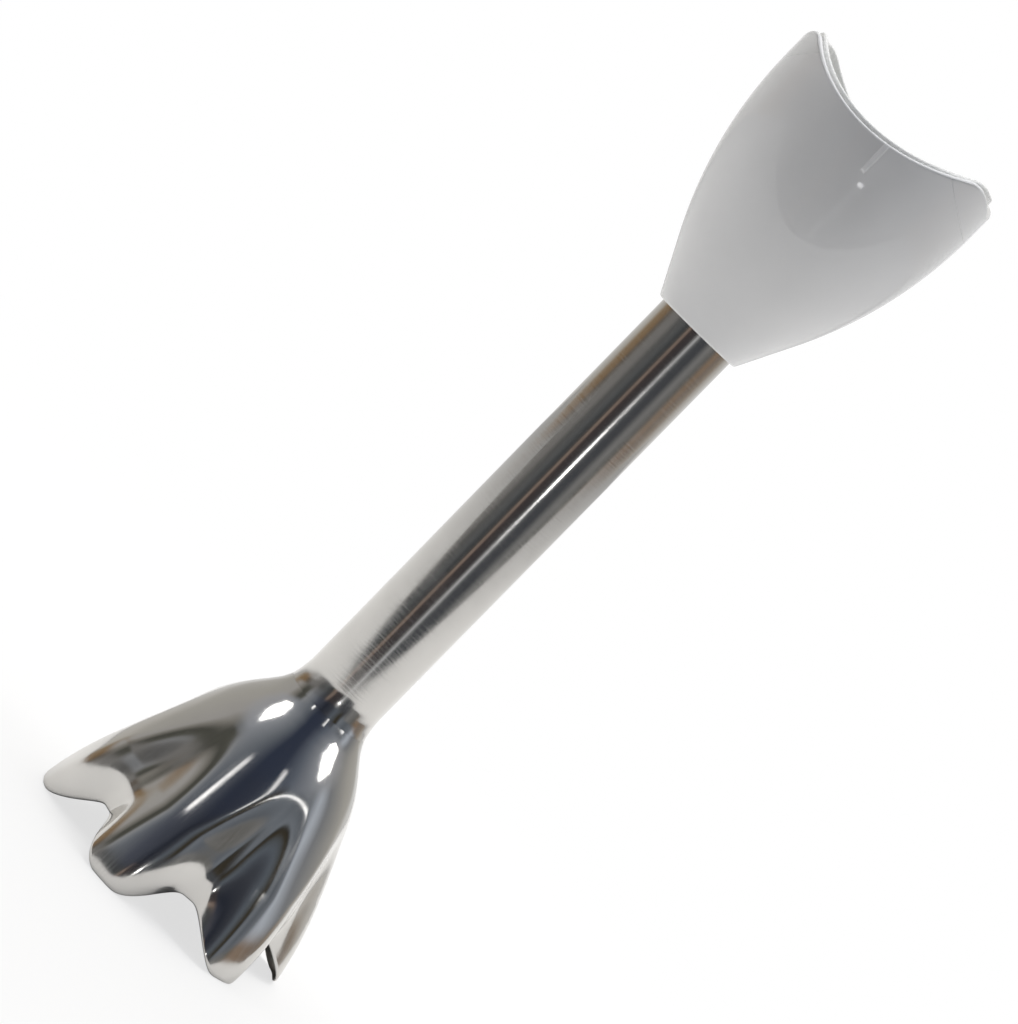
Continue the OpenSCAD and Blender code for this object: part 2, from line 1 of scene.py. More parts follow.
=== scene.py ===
"""The finished look of an immersion blender's detachable foot.

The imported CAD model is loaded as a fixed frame. Every sub-assembly is a class that keeps its
sizes in millimetres, makes its meshes in the frame's own place and dresses them in its
finishes. Meshes are turned to metres when they leave the bench.
"""

from __future__ import annotations

import logging
import math
from collections.abc import Iterable, Sequence
from dataclasses import dataclass, field
from enum import Enum
from typing import Any

import bmesh  # noqa: E402
import bpy  # noqa: E402
from mathutils import Matrix, Vector  # noqa: E402

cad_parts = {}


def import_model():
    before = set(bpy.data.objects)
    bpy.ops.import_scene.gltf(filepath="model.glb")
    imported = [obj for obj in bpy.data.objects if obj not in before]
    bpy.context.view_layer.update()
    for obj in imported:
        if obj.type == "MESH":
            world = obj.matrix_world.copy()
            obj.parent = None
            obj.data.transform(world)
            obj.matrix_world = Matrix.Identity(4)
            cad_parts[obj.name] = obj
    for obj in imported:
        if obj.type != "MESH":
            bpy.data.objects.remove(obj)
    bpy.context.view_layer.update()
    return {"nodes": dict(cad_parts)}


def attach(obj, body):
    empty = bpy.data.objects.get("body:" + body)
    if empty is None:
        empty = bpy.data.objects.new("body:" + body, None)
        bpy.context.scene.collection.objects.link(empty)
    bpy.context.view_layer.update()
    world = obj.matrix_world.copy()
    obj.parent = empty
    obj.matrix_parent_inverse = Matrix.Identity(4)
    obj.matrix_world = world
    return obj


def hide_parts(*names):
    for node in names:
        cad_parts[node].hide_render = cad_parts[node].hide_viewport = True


LOG = logging.getLogger("blender_foot")
MM = 0.001
TAU = 2 * math.pi

Point = tuple[float, float, float]
Spot = tuple[float, float]
Corner = tuple[float, float, float]
Colour = tuple[float, float, float]


class Body(Enum):
    """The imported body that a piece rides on."""

    FOOT = "foot"
    ROTOR = "rotor"


class Slot(Enum):
    """The record's material slots."""

    MIRROR_STEEL = "mirror_steel"
    TUBE_STEEL = "tube_steel"
    SHELL_PLASTIC = "shell_plastic"
    LINER_PLASTIC = "liner_plastic"
    BEARING_PLASTIC = "bearing_plastic"
    WASHER_PLASTIC = "washer_plastic"
    STAR_PLASTIC = "star_plastic"
    BRONZE = "bronze"
    SEAL_RUBBER = "seal_rubber"
    SHAFT_STEEL = "shaft_steel"
    BLADE_STEEL = "blade_steel"
    SCREW_STEEL = "screw_steel"
    CLIP_STEEL = "clip_steel"


# ---------- small sums ----------


def clamp01(x: float) -> float:
    """Keeps a share between nothing and one."""
    return max(0.0, min(1.0, x))


def ease(x: float) -> float:
    """Turns a share into one that starts and stops gently."""
    c = clamp01(x)
    return c * c * (3 - 2 * c)


def around(radius: float, angle: float, z: float) -> Point:
    """The point at a radius, an angle and a height."""
    return radius * math.cos(angle), radius * math.sin(angle), z


def window(x: float, low: float, high: float, edge: float) -> float:
    """One between two limits and nothing outside them, with soft edges.

    Args:
        x: Where to read.
        low: Lower limit.
        high: Upper limit.
        edge: Width of each soft edge, centred on its limit.

    Returns:
        A share from nothing to one.
    """
    return ease((x - low) / edge + 0.5) * ease((high - x) / edge + 0.5)


def turns(steps: int, fine: Iterable[tuple[float, float, float]] = ()) -> list[float]:
    """Angles for the columns of a turned net.

    Args:
        steps: Even columns for the whole turn.
        fine: Stretches with closer columns, each a start, an end and a step in degrees.

    Returns:
        Rising angles in radians, from nothing up to a whole turn.
    """
    found = {round(360 * i / steps, 4) for i in range(steps)}
    for start, end, step in fine:
        count = round((end - start) / step)
        found |= {round((start + step * i) % 360, 4) for i in range(count + 1)}
    kept: list[float] = []
    for angle in sorted(found):
        if not kept or angle - kept[-1] > 0.04:
            kept.append(angle)
    return [math.radians(a) for a in kept]


def rounded(corners: Sequence[Corner], arc_steps: int = 5, hold: float = 0.04) -> list[Spot]:
    """Rounds the corners of a closed half section.

    Args:
        corners: Radius, height and rounding of each corner, in order round the section.
        arc_steps: Steps in each rounding.
        hold: How far from a rounding the flat beside it is held true.

    Returns:
        Radius and height of every point of the section.
    """
    spots: list[Spot] = []
    count = len(corners)
    for i, (radius, height, rounding) in enumerate(corners):
        here = Vector((radius, height))
        if rounding <= 0:
            spots.append((radius, height))
            continue
        back = (Vector(corners[i - 1][:2]) - here).normalized()
        on = (Vector(corners[(i + 1) % count][:2]) - here).normalized()
        half = back.angle(on) / 2
        cut = rounding / math.tan(half)
        centre = here + (back + on).normalized() * (rounding / math.sin(half))
        first, last = here + back * cut - centre, here + on * cut - centre
        spots.append(tuple(centre + first + back * hold))
        span = first.angle(last)
        for k in range(arc_steps + 1):
            t = k / arc_steps
            mixed = (first * math.sin((1 - t) * span) + last * math.sin(t * span)) / math.sin(span)
            spots.append(tuple(centre + mixed))
        spots.append(tuple(centre + last + on * hold))
    return spots


# ---------- the bench where meshes are made ----------


@dataclass
class Draft:
    """Points and faces of a piece that is being made, in millimetres."""

    points: list[Point] = field(default_factory=list)
    faces: list[tuple[int, ...]] = field(default_factory=list)
    plates: list[list[list[int]]] = field(default_factory=list)

    def net(self, rows: Sequence[Sequence[Point]], closed: bool = True) -> list[list[int]]:
        """Adds a net of rings.

        Args:
            rows: Rings of points, each ring closed on itself and all of one length.
            closed: Whether the last ring joins the first.

        Returns:
            The point numbers of each ring.
        """
        start, width = len(self.points), len(rows[0])
        for row in rows:
            self.points.extend(row)
        ids = [[start + k * width + i for i in range(width)] for k in range(len(rows))]
        last = len(rows) if closed else len(rows) - 1
        for k in range(last):
            low, high = ids[k], ids[(k + 1) % len(rows)]
            for i in range(width):
                j = (i + 1) % width
                self.faces.append((low[i], low[j], high[j], high[i]))
        return ids

    def turn(
        self,
        section: Sequence[Spot],
        steps: int = 144,
        closed: bool = True,
        centre: Spot = (0.0, 0.0),
    ) -> list[list[int]]:
        """Adds a section turned once round an upright axis.

        Args:
            section: Radius and height of each point.
            steps: Columns round the axis.
            closed: Whether the section's last point joins its first.
            centre: Where the axis stands.

        Returns:
            The point numbers of each ring.
        """
        angles = turns(steps)
        rows = [
            [(centre[0] + r * math.cos(a), centre[1] + r * math.sin(a), z) for a in angles]
            for r, z in section
        ]
        return self.net(rows, closed)

    def plate(self, *loops: list[int]) -> None:
        """Asks for a flat face between an outer loop and the loops inside it."""
        self.plates.append(list(loops))

    def finish(self, name: str) -> bpy.types.Object:
        """Turns the draft into an object at the origin, in metres.

        Args:
            name: What the object is called.

        Returns:
            The object, with its doubles merged and its faces outward and smooth.
        """
        made = bmesh.new()
        verts = [made.verts.new(Vector(p) * MM) for p in self.points]
        for face in self.faces:
            made.faces.new([verts[i] for i in face])
        for loops in self.plates:
            edges = []
            for loop in loops:
                for a, b in zip(loop, loop[1:] + loop[:1]):
                    ends = (verts[a], verts[b])
                    edges.append(made.edges.get(ends) or made.edges.new(ends))
            bmesh.ops.triangle_fill(made, use_beauty=True, edges=edges, normal=(0, 0, 1))
        bmesh.ops.remove_doubles(made, verts=made.verts, dist=2e-7)
        bmesh.ops.dissolve_degenerate(made, edges=made.edges, dist=1e-7)
        bmesh.ops.recalc_face_normals(made, faces=made.faces)
        mesh = bpy.data.meshes.new(name)
        made.to_mesh(mesh)
        made.free()
        mesh.shade_smooth()
        mesh.set_sharp_from_angle(angle=math.radians(42))
        piece = bpy.data.objects.new(name, mesh)
        bpy.context.scene.collection.objects.link(piece)
        return piece


class Bench:
    """Lays nodes in a node tree and joins them."""

    def __init__(self, tree: bpy.types.NodeTree) -> None:
        """Starts on a tree, with nothing laid yet."""
        self.tree = tree

    def add(self, kind: str, given: dict[Any, Any] | None = None, **settings: Any) -> Any:
        """Lays one node.

        Args:
            kind: The node's type.
            given: Values or sockets for its inputs, by name or number.
            **settings: The node's own settings.

        Returns:
            The node.
        """
        node = self.tree.nodes.new(kind)
        for key, value in settings.items():
            setattr(node, key, value)
        for key, value in (given or {}).items():
            self.feed(node.inputs[key], value)
        return node

    def feed(self, socket: Any, value: Any) -> None:
        """Sets a socket to a value, or joins it to another socket."""
        if isinstance(value, bpy.types.NodeSocket):
            self.tree.links.new(value, socket)
        else:
            socket.default_value = value

    def sum(self, operation: str, *values: Any, clamp: bool = False) -> Any:
        """One step of arithmetic.

        Args:
            operation: What is done, as a maths node names it.
            *values: Up to three numbers or sockets.
            clamp: Whether the result stays between nothing and one.

        Returns:
            The socket that holds the result.
        """
        kind = "ShaderNodeMath"
        return self.add(kind, dict(enumerate(values)), operation=operation, use_clamp=clamp).outputs[0]

    def eased(self, value: Any, low: Any, high: Any, start: Any = 0.0, end: Any = 1.0) -> Any:
        """Moves gently from start to end while a value goes from low to high."""
        node = self.add("ShaderNodeMapRange", interpolation_type="SMOOTHSTEP")
        for number, given in enumerate((value, low, high, start, end)):
            self.feed(node.inputs[number], given)
        return node.outputs[0]

    def place(self) -> Any:
        """Where the surface is, on its own coordinates."""
        return self.add("ShaderNodeTexCoord").outputs["Object"]

    def apart(self, where: Any) -> Any:
        """The three parts of a place."""
        return self.add("ShaderNodeSeparateXYZ", {0: where}).outputs

    def vector(self, operation: str, given: dict[Any, Any]) -> Any:
        """One step of arithmetic on a place or a direction."""
        return self.add("ShaderNodeVectorMath", given, operation=operation).outputs[0]

    def blend(self, share: Any, first: Any, second: Any) -> Any:
        """Goes from one colour to another by a share.

        Args:
            share: How much of the second colour shows.
            first: A colour, or the socket that holds one.
            second: The same, for the other end.

        Returns:
            The socket that holds the mixed colour.
        """
        ends = [(*end, 1.0) if isinstance(end, tuple) else end for end in (first, second)]
        given = {"Factor": share, 6: ends[0], 7: ends[1]}
        return self.add("ShaderNodeMix", given, data_type="RGBA").outputs[2]

    def bump(self, height: Any, depth: float, under: Any = None) -> Any:
        """Raises the surface.

        Args:
            height: The socket with the height, from nothing to one.
            depth: What one stands for, in millimetres.
            under: Another relief that this one lies on.

        Returns:
            The socket with the surface's direction.
        """
        given = {"Strength": 1.0, "Distance": depth * MM, "Height": height}
        if under is not None:
            given["Normal"] = under
        return self.add("ShaderNodeBump", given).outputs[0]


# ---------- finishes ----------


def grain(bench: Bench, scale: Point | float, detail: float) -> Any:
    """A noise drawn out along some directions, read from where the surface is.

    Args:
        bench: The material's bench.
        scale: Spots a metre, along each direction or along all of them.
        detail: Fineness inside each spot.

    Returns:
        The socket with the noise, from nothing to one.
    """
    each = scale if isinstance(scale, tuple) else (scale,) * 3
    mapped = bench.add("ShaderNodeMapping", {"Vector": bench.place(), "Scale": each}).outputs[0]
    noise = {"Vector": mapped, "Scale": 1.0, "Detail": detail, "Roughness": 0.55}
    return bench.add("ShaderNodeTexNoise", noise).outputs[0]


def streaks(bench: Bench, around_it: float, along: float) -> Any:
    """A noise drawn out up and down a turned or pressed piece.

    Args:
        bench: The material's bench.
        around_it: Streaks in each radian round the axis.
        along: Spots a metre up the axis.

    Returns:
        The socket with the noise, from nothing to one.
    """
    where = bench.place()
    flat = bench.vector("MULTIPLY", {0: where, 1: (1.0, 1.0, 0.0)})
    spread = bench.vector("SCALE", {0: bench.vector("NORMALIZE", {0: flat}), "Scale": around_it})
    mixed = bench.vector("MULTIPLY_ADD", {0: where, 1: (0.0, 0.0, along), 2: spread})
    noise = {"Vector": mixed, "Scale": 1.0, "Detail": 4.0, "Roughness": 0.6}
    return bench.add("ShaderNodeTexNoise", noise).outputs[0]


def blank(name: str) -> tuple[bpy.types.Material, Bench]:
    """A new material.

    Args:
        name: What the finish is called.

    Returns:
        The material and its bench.
    """
    material = bpy.data.materials.new(name)
    material.use_nodes = True
    return material, Bench(material.node_tree)


def shade(bench: Bench, **given: Any) -> None:
    """Gives a material's shader its inputs, each named with low lines for spaces."""
    shader = bench.tree.nodes["Principled BSDF"]
    for name, value in given.items():
        bench.feed(shader.inputs[name.replace("_", " ")], value)


@dataclass(frozen=True)
class Steel:
    """Stainless steel with its polish, its grain and the gentle dents of forming."""

    name: str
    tone: Colour = (0.66, 0.645, 0.62)
    shine: tuple[float, float] = (0.05, 0.14)
    grain_scale: Point = (14.0, 14.0, 2600.0)
    grain_depth: float = 0.004
    wave_scale: float = 70.0
    wave_depth: float = 0.02
    buffed: float = 0.0

    def make(self) -> bpy.types.Material:
        """Builds the finish from fine lines, soft waves and a patchy polish."""
        material, bench = blank(self.name)
        lines = streaks(bench, self.buffed, 40.0) if self.buffed else grain(bench, self.grain_scale, 4.0)
        patches = grain(bench, 120.0, 3.0)
        waves = grain(bench, self.wave_scale, 1.5)
        mixed = bench.sum("ADD", bench.sum("MULTIPLY", lines, 0.55), bench.sum("MULTIPLY", patches, 0.45))
        stained = tuple(c * 0.95 for c in self.tone)
        shade(
            bench,
            Base_Color=bench.blend(bench.eased(patches, 0.3, 0.75), self.tone, stained),
            Roughness=bench.eased(mixed, 0.3, 0.72, *self.shine),
            Normal=bench.bump(waves, self.wave_depth, bench.bump(lines, self.grain_depth)),
            Metallic=1.0,
        )
        return material


@dataclass(frozen=True)
class Plastic:
    """Moulded plastic: a skin with faint sink marks and a fine surface."""

    name: str
    tone: Colour
    shine: tuple[float, float] = (0.12, 0.2)
    skin_scale: float = 900.0
    skin_depth: float = 0.003
    sink_scale: float = 45.0
    sink_depth: float = 0.05
    # a fine step across the ears: its height on the axis, and how it falls to the sides
    step_line: float = 0.0
    step_slope: float = 0.0
    # a painted highlight on the index mark, a paler bar that whitens the colour: degrees round the axis, half
    # its breadth, and its two heights
    highlight_bar: tuple[float, float, float, float] | None = None

    def paint_highlight(self, bench: Bench, colour: Any) -> Any:
        """Paints a highlight: lightens the colour inside the bar over the index mark."""
        turn, reach, low, top = self.highlight_bar
        x, y, z = bench.apart(bench.place())
        angle = bench.sum("SUBTRACT", bench.sum("ARCTAN2", y, x), math.radians(turn))
        aside = bench.sum("MULTIPLY", bench.sum("ABSOLUTE", angle), 180 / math.pi)
        across = bench.eased(aside, reach * 0.8, reach * 1.2, 1.0, 0.0)
        above = bench.eased(z, (low - 0.1) * MM, (low + 0.1) * MM)
        below = bench.eased(z, (top - 0.1) * MM, (top + 0.1) * MM, 1.0, 0.0)
        share = bench.sum("MULTIPLY", across, bench.sum("MULTIPLY", above, below))
        return bench.blend(share, colour, (1.0, 1.0, 1.0))

    def stepped(self, bench: Bench, under: Any) -> Any:
        """Lays the fine moulded step over a relief."""
        x, _, z = bench.apart(bench.place())
        along = bench.sum("MULTIPLY_ADD", bench.sum("ABSOLUTE", x), self.step_slope, z)
        past = bench.eased(along, (self.step_line - 0.09) * MM, (self.step_line + 0.09) * MM, 1.0, 0.0)
        return bench.bump(past, 0.2, under)

    def make(self) -> bpy.types.Material:
        """Builds the finish, with its step and its painted highlight bar where they are asked for."""
        material, bench = blank(self.name)
        skin = grain(bench, self.skin_scale, 3.0)
        sink = grain(bench, self.sink_scale, 1.0)
        pale, deep = tuple(min(1.0, c * 1.02) for c in self.tone), tuple(c * 0.965 for c in self.tone)
        colour = bench.blend(bench.eased(sink, 0.3, 0.7), pale, deep)
        relief = bench.bump(sink, self.sink_depth, bench.bump(skin, self.skin_depth))
        shade(
            bench,
            # the bar whitens the colour over the index mark as a painted highlight
            Base_Color=self.paint_highlight(bench, colour) if self.highlight_bar else colour,
            Roughness=bench.eased(skin, 0.3, 0.75, *self.shine),
            Normal=self.stepped(bench, relief) if self.step_line else relief,
        )
        return material


@dataclass(frozen=True)
class Bronze:
    """Sintered bronze, with its open oily pores."""

    name: str = "sintered bronze"
    tone: Colour = (0.50, 0.33, 0.16)

    def make(self) -> bpy.types.Material:
        """Builds the finish from pores and darker oily patches."""
        material, bench = blank(self.name)
        oil = grain(bench, 240.0, 2.0)
        oiled = tuple(c * 0.55 for c in self.tone)
        shade(
            bench,
            Base_Color=bench.blend(bench.eased(oil, 0.35, 0.7), self.tone, oiled),
            Roughness=bench.eased(oil, 0.3, 0.7, 0.38, 0.22),
            Normal=bench.bump(grain(bench, 5200.0, 3.0), 0.02),
            Metallic=1.0,
        )
        return material


@dataclass(frozen=True)
class Rubber:
    """Black seal rubber with a dusty bloom."""

    name: str = "seal rubber"

    def make(self) -> bpy.types.Material:
        """Builds the finish from a bloom and a fine moulded skin."""
        material, bench = blank(self.name)
        bloom = grain(bench, 200.0, 2.0)
        shade(
            bench,
            Base_Color=bench.blend(bench.eased(bloom, 0.4, 0.8), (0.018, 0.018, 0.019), (0.05, 0.05, 0.05)),
            Roughness=bench.eased(bloom, 0.3, 0.7, 0.5, 0.68),
            Normal=bench.bump(grain(bench, 2600.0, 3.0), 0.01),
        )
        return material


class Wardrobe:
    """Every finish of the foot, made once and handed out by slot."""

    def __init__(self) -> None:
        """Makes a material for each of the record's slots."""
        finishes = {
            Slot.MIRROR_STEEL: Steel(
                "pressed mirror steel", shine=(0.06, 0.15), buffed=70.0,
                grain_depth=0.003, wave_scale=36.0, wave_depth=0.01,
            ),
            Slot.TUBE_STEEL: Steel(
                "polished tube steel", shine=(0.06, 0.17), grain_depth=0.0022, wave_depth=0.012
            ),
            Slot.SHELL_PLASTIC: Plastic(
                "glossy white cover", (0.86, 0.86, 0.86), shine=(0.02, 0.05), skin_depth=0.0003,
                # the cover's bar is a painted highlight over the index mark
                sink_depth=0.012, step_line=232.27, step_slope=0.774, highlight_bar=(-77.7, 1.05, 206.9, 213.7),
            ),
            Slot.LINER_PLASTIC: Plastic("white liner", (0.82, 0.82, 0.80), shine=(0.22, 0.32)),
            Slot.BEARING_PLASTIC: Plastic("ivory bearing plastic", (0.66, 0.65, 0.60), shine=(0.3, 0.42)),
            Slot.WASHER_PLASTIC: Plastic("slippery washer plastic", (0.78, 0.78, 0.77), shine=(0.34, 0.44)),
            Slot.STAR_PLASTIC: Plastic("black drive plastic", (0.022, 0.022, 0.024), shine=(0.24, 0.38)),
            Slot.BRONZE: Bronze(),
            Slot.SEAL_RUBBER: Rubber(),
            Slot.SHAFT_STEEL: Steel("ground shaft steel", shine=(0.1, 0.2), grain_scale=(20.0, 20.0, 4200.0)),
            Slot.BLADE_STEEL: Steel(
                "ground blade steel", shine=(0.12, 0.3), grain_scale=(300.0, 4200.0, 300.0), grain_depth=0.008
            ),
            Slot.SCREW_STEEL: Steel(
                "zinc plated screw", (0.60, 0.61, 0.62), shine=(0.16, 0.3), wave_scale=600.0
            ),
            Slot.CLIP_STEEL: Steel(
                "dark spring steel", (0.16, 0.16, 0.17), shine=(0.24, 0.4), wave_scale=400.0
            ),
        }
        self.made = {slot: finish.make() for slot, finish in finishes.items()}

    def settle(self, piece: bpy.types.Object, body: Body, slot: Slot, *nodes: str) -> None:
        """Dresses a finished piece and hands it to the frame.

        Args:
            piece: The piece, in its place.
            body: The body it rides on.
            slot: The slot it takes its finish from.
            *nodes: The CAD nodes it stands for.
        """
        piece.data.materials.clear()
        piece.data.materials.append(self.made[slot])
        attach(piece, body.value)
        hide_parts(*nodes)
        LOG.info("%s: %d faces, rides on %s", piece.name, len(piece.data.polygons), body.value)

    def dress(self, node: bpy.types.Object, slot: Slot) -> None:
        """Gives a CAD node that stays its finish."""
        if not node.data.materials:
            node.data.materials.append(self.made[slot])
        for held in node.material_slots:
            held.material = self.made[slot]
        LOG.info("%s: CAD node in %s", node.name, slot.value)


# ---------- trees of geometry nodes ----------


class Recipe:
    """A geometry node tree with named inputs, laid on a piece and then made plain mesh."""

    def __init__(self, name: str) -> None:
        """Starts a tree that takes a mesh in and gives a mesh out."""
        self.tree = bpy.data.node_groups.new(name, "GeometryNodeTree")
        self.bench = Bench(self.tree)
        self.named: dict[str, str] = {}
        self.entry = self.bench.add("NodeGroupInput")
        self.ask("Geometry", "NodeSocketGeometry")

    def ask(self, name: str, kind: str = "NodeSocketFloat") -> Any:
        """Adds a named input.

        Args:
            name: The input's name.
            kind: Its socket type.

        Returns:
            The socket that brings its value in.
        """
        made = self.tree.interface.new_socket(name=name, in_out="INPUT", socket_type=kind)
        self.named[name] = made.identifier
        return self.entry.outputs[name]

    def close(self, geometry: Any) -> None:
        """Ends the tree: real copies, then their material."""
        self.tree.interface.new_socket(name="Geometry", in_out="OUTPUT", socket_type="NodeSocketGeometry")
        finish = self.ask("Finish", "NodeSocketMaterial")
        real = self.bench.add("GeometryNodeRealizeInstances", {0: geometry}).outputs[0]
        smooth = self.bench.add("GeometryNodeSetShadeSmooth", {"Geometry": real}).outputs[0]
        set_it = self.bench.add("GeometryNodeSetMaterial", {"Geometry": smooth, "Material": finish})
        self.bench.add("NodeGroupOutput", {0: set_it.outputs[0]})

    def apply(self, piece: bpy.types.Object, **values: Any) -> bpy.types.Object:
        """Runs the tree on a piece and keeps the result as its mesh.

        Args:
            piece: The piece whose mesh goes in.
            **values: Each input's value, its name written with low lines for spaces.

        Returns:
            The same piece, with the tree's modifier gone.
        """
        modifier = piece.modifiers.new(self.tree.name, "NODES")
        modifier.node_group = self.tree
        for name, value in values.items():
            modifier[self.named[name.replace("_", " ")]] = value
        bpy.context.view_layer.update()
        graph = bpy.context.evaluated_depsgraph_get()
        mesh = bpy.data.meshes.new_from_object(piece.evaluated_get(graph))
        piece.modifiers.clear()
        old, piece.data = piece.data, mesh
        mesh.name = piece.name
        bpy.data.meshes.remove(old)
        return piece


def round_the_axis() -> Recipe:
    """A recipe that sets copies of a piece evenly round the upright axis."""
    recipe = Recipe("copies round the axis")
    bench = recipe.bench
    count = recipe.ask("Count", "NodeSocketInt")
    radius, first, height = (recipe.ask(name) for name in ("Radius", "First angle", "Height"))
    points = bench.add("GeometryNodePoints", {"Count": count}).outputs[0]
    index = bench.add("GeometryNodeInputIndex").outputs[0]
    angle = bench.sum("ADD", bench.sum("DIVIDE", bench.sum("MULTIPLY", index, TAU), count), first)
    across = [bench.sum("MULTIPLY", bench.sum(f, angle), radius) for f in ("COSINE", "SINE")]
    spot = bench.add("ShaderNodeCombineXYZ", {0: across[0], 1: across[1], 2: height}).outputs[0]
    placed = bench.add("GeometryNodeSetPosition", {"Geometry": points, "Position": spot}).outputs[0]
    facing = bench.add("ShaderNodeCombineXYZ", {2: angle}).outputs[0]
    copies = {"Points": placed, "Instance": recipe.entry.outputs["Geometry"], "Rotation": facing}
    recipe.close(bench.add("GeometryNodeInstanceOnPoints", copies).outputs[0])
    return recipe


# ---------- bell and neck ----------


@dataclass
class Bell:
    """The pressed skirt with its flutes, and the ferrule above it."""

    rim_r: float = 33.0
    neck_r: float = 10.3
    height: float = 51.8
    sheet: float = 0.7
    flutes: int = 6
    flute_depth: float = 3.8
    notch: float = 7.8
    curl: float = 0.015
    curl_top: float = 20.0
    slant_low: float = -4.0
    slant_high: float = 9.0
    turn: float = -94.6
    tube_r: float = 9.5
    ferrule: float = 6.2
    # height share and flare share down the lobes' outline, from rim to neck
    outline: tuple[Spot, ...] = (
        (0, 1), (0.125, 0.956), (0.25, 0.882), (0.386, 0.773), (0.54, 0.615),
        (0.695, 0.452), (0.79, 0.336), (0.869, 0.205), (0.932, 0.085), (1, 0),
    )  # fmt: skip

    def share(self, g: float) -> float:
        """How far the lobes flare at a share of the height, evened out over a short stretch."""
        reach = 0.07 * min(1.0, 8 * g, 8 * (1 - g))
        return sum(self.read(g + reach * (k / 4 - 1)) * (5 - abs(k - 4)) for k in range(9)) / 25

    def read(self, g: float) -> float:
        """The outline's flare share at a share of the height."""
        last = len(self.outline) - 1
        i = 0
        while i < last - 1 and g > self.outline[i + 1][0]:
            i += 1
        (x1, p1), (x2, p2) = self.outline[i], self.outline[i + 1]
        p0, p3 = self.outline[max(0, i - 1)][1], self.outline[min(last, i + 2)][1]
        t = (g - x1) / (x2 - x1)
        return 0.5 * (
            2 * p1 + (p2 - p0) * t + (2 * p0 - 5 * p1 + 4 * p2 - p3) * t * t
            + (3 * p1 - p0 - 3 * p2 + p3) * t**3
        )  # fmt: skip

    def blank_skirt(self) -> bpy.types.Object:
        """The skirt before it is pressed: a plain flared sheet with a rolled rim.

        Returns:
            The object, whose points know their share of the height, their depth in the
            sheet and their lift over the rim.
        """
        rows = [(0.0, (1 - math.cos(s)) / 2, 1 - math.sin(s)) for s in (math.pi * k / 8 for k in range(9))]
        up = [k / 92 for k in range(1, 93)]
        rows = [(t, 0.0, 1.0) for t in reversed(up)] + rows + [(t, 1.0, 1.0) for t in up]
        angles = turns(360)
        draft = Draft()
        radii = [
            self.neck_r + (self.rim_r - self.neck_r) * self.share(t) - depth * self.sheet
            for t, depth, _ in rows
        ]
        draft.net([[around(r, a, row[0] * self.height) for a in angles] for r, row in zip(radii, rows)])
        outward = [(a, d, c, b) for a, b, c, d in draft.faces]
        mesh = bpy.data.meshes.new("bell_guard")
        mesh.from_pydata([Vector(p) * MM for p in draft.points], [], outward)
        for name, place in (("up", 0), ("depth", 1), ("lift", 2)):
            known = mesh.attributes.new(name, "FLOAT", "POINT")
            known.data.foreach_set("value", [row[place] for row in rows for _ in angles])
        piece = bpy.data.objects.new("bell_skirt", mesh)
        bpy.context.scene.collection.objects.link(piece)
        return piece

    def pressing(self) -> Recipe:
        """The rule that presses flutes and scallops into a plain skirt."""
        recipe = Recipe("pressed skirt")
        bench = recipe.bench
        calc = bench.sum
        names = ("Flutes", "Turn", "Height", "Rim radius", "Neck radius", "Flute depth", "Notch", "Sheet")
        flutes, turn, tall, rim_r, neck_r, depth, notch, sheet = (recipe.ask(n) for n in names)
        curl, curl_top, slant_low, slant_high = (
            recipe.ask(n) for n in ("Curl", "Curl top", "Slant low", "Slant high")
        )

        def known(name: str) -> Any:
            """What a point of the blank remembers."""
            return bench.add("GeometryNodeInputNamedAttribute", {"Name": name}).outputs[0]

        where = bench.add("GeometryNodeInputPosition").outputs[0]
        x, y, _ = bench.apart(where)
        angle = calc("ARCTAN2", y, x)
        half_pitch = calc("DIVIDE", math.pi, flutes)

        def from_flute(start: Any) -> Any:
            """Angle from the nearest flute's middle, as a share of half a flute."""
            pitch = calc("MULTIPLY", half_pitch, 2.0)
            within = calc("FLOORED_MODULO", calc("SUBTRACT", angle, start), pitch)
            return calc("DIVIDE", calc("ABSOLUTE", calc("SUBTRACT", within, half_pitch)), half_pitch)

        rim = calc("MULTIPLY", notch, bench.eased(from_flute(turn), 0.08, 0.85, 1.0, 0.0))
        low = calc("MULTIPLY_ADD", known("lift"), calc("MULTIPLY", sheet, 0.5), rim)
        z = calc("MULTIPLY_ADD", calc("SUBTRACT", tall, low), known("up"), low)

        def lobe(level: Any) -> Any:
            """Radius of the lobes at a height."""
            curve = bench.add("ShaderNodeFloatCurve", {"Value": calc("DIVIDE", level, tall, clamp=True)})
            spots = curve.mapping.curves[0].points
            marks = [k / 24 for k in range(25)]
            spots[0].location, spots[-1].location = (0.0, 1.0), (1.0, 0.0)
            for mark in marks[1:-1]:
                spots.new(mark, self.share(mark))
            curve.mapping.update()
            return calc("MULTIPLY_ADD", calc("SUBTRACT", rim_r, neck_r), curve.outputs[0], neck_r)

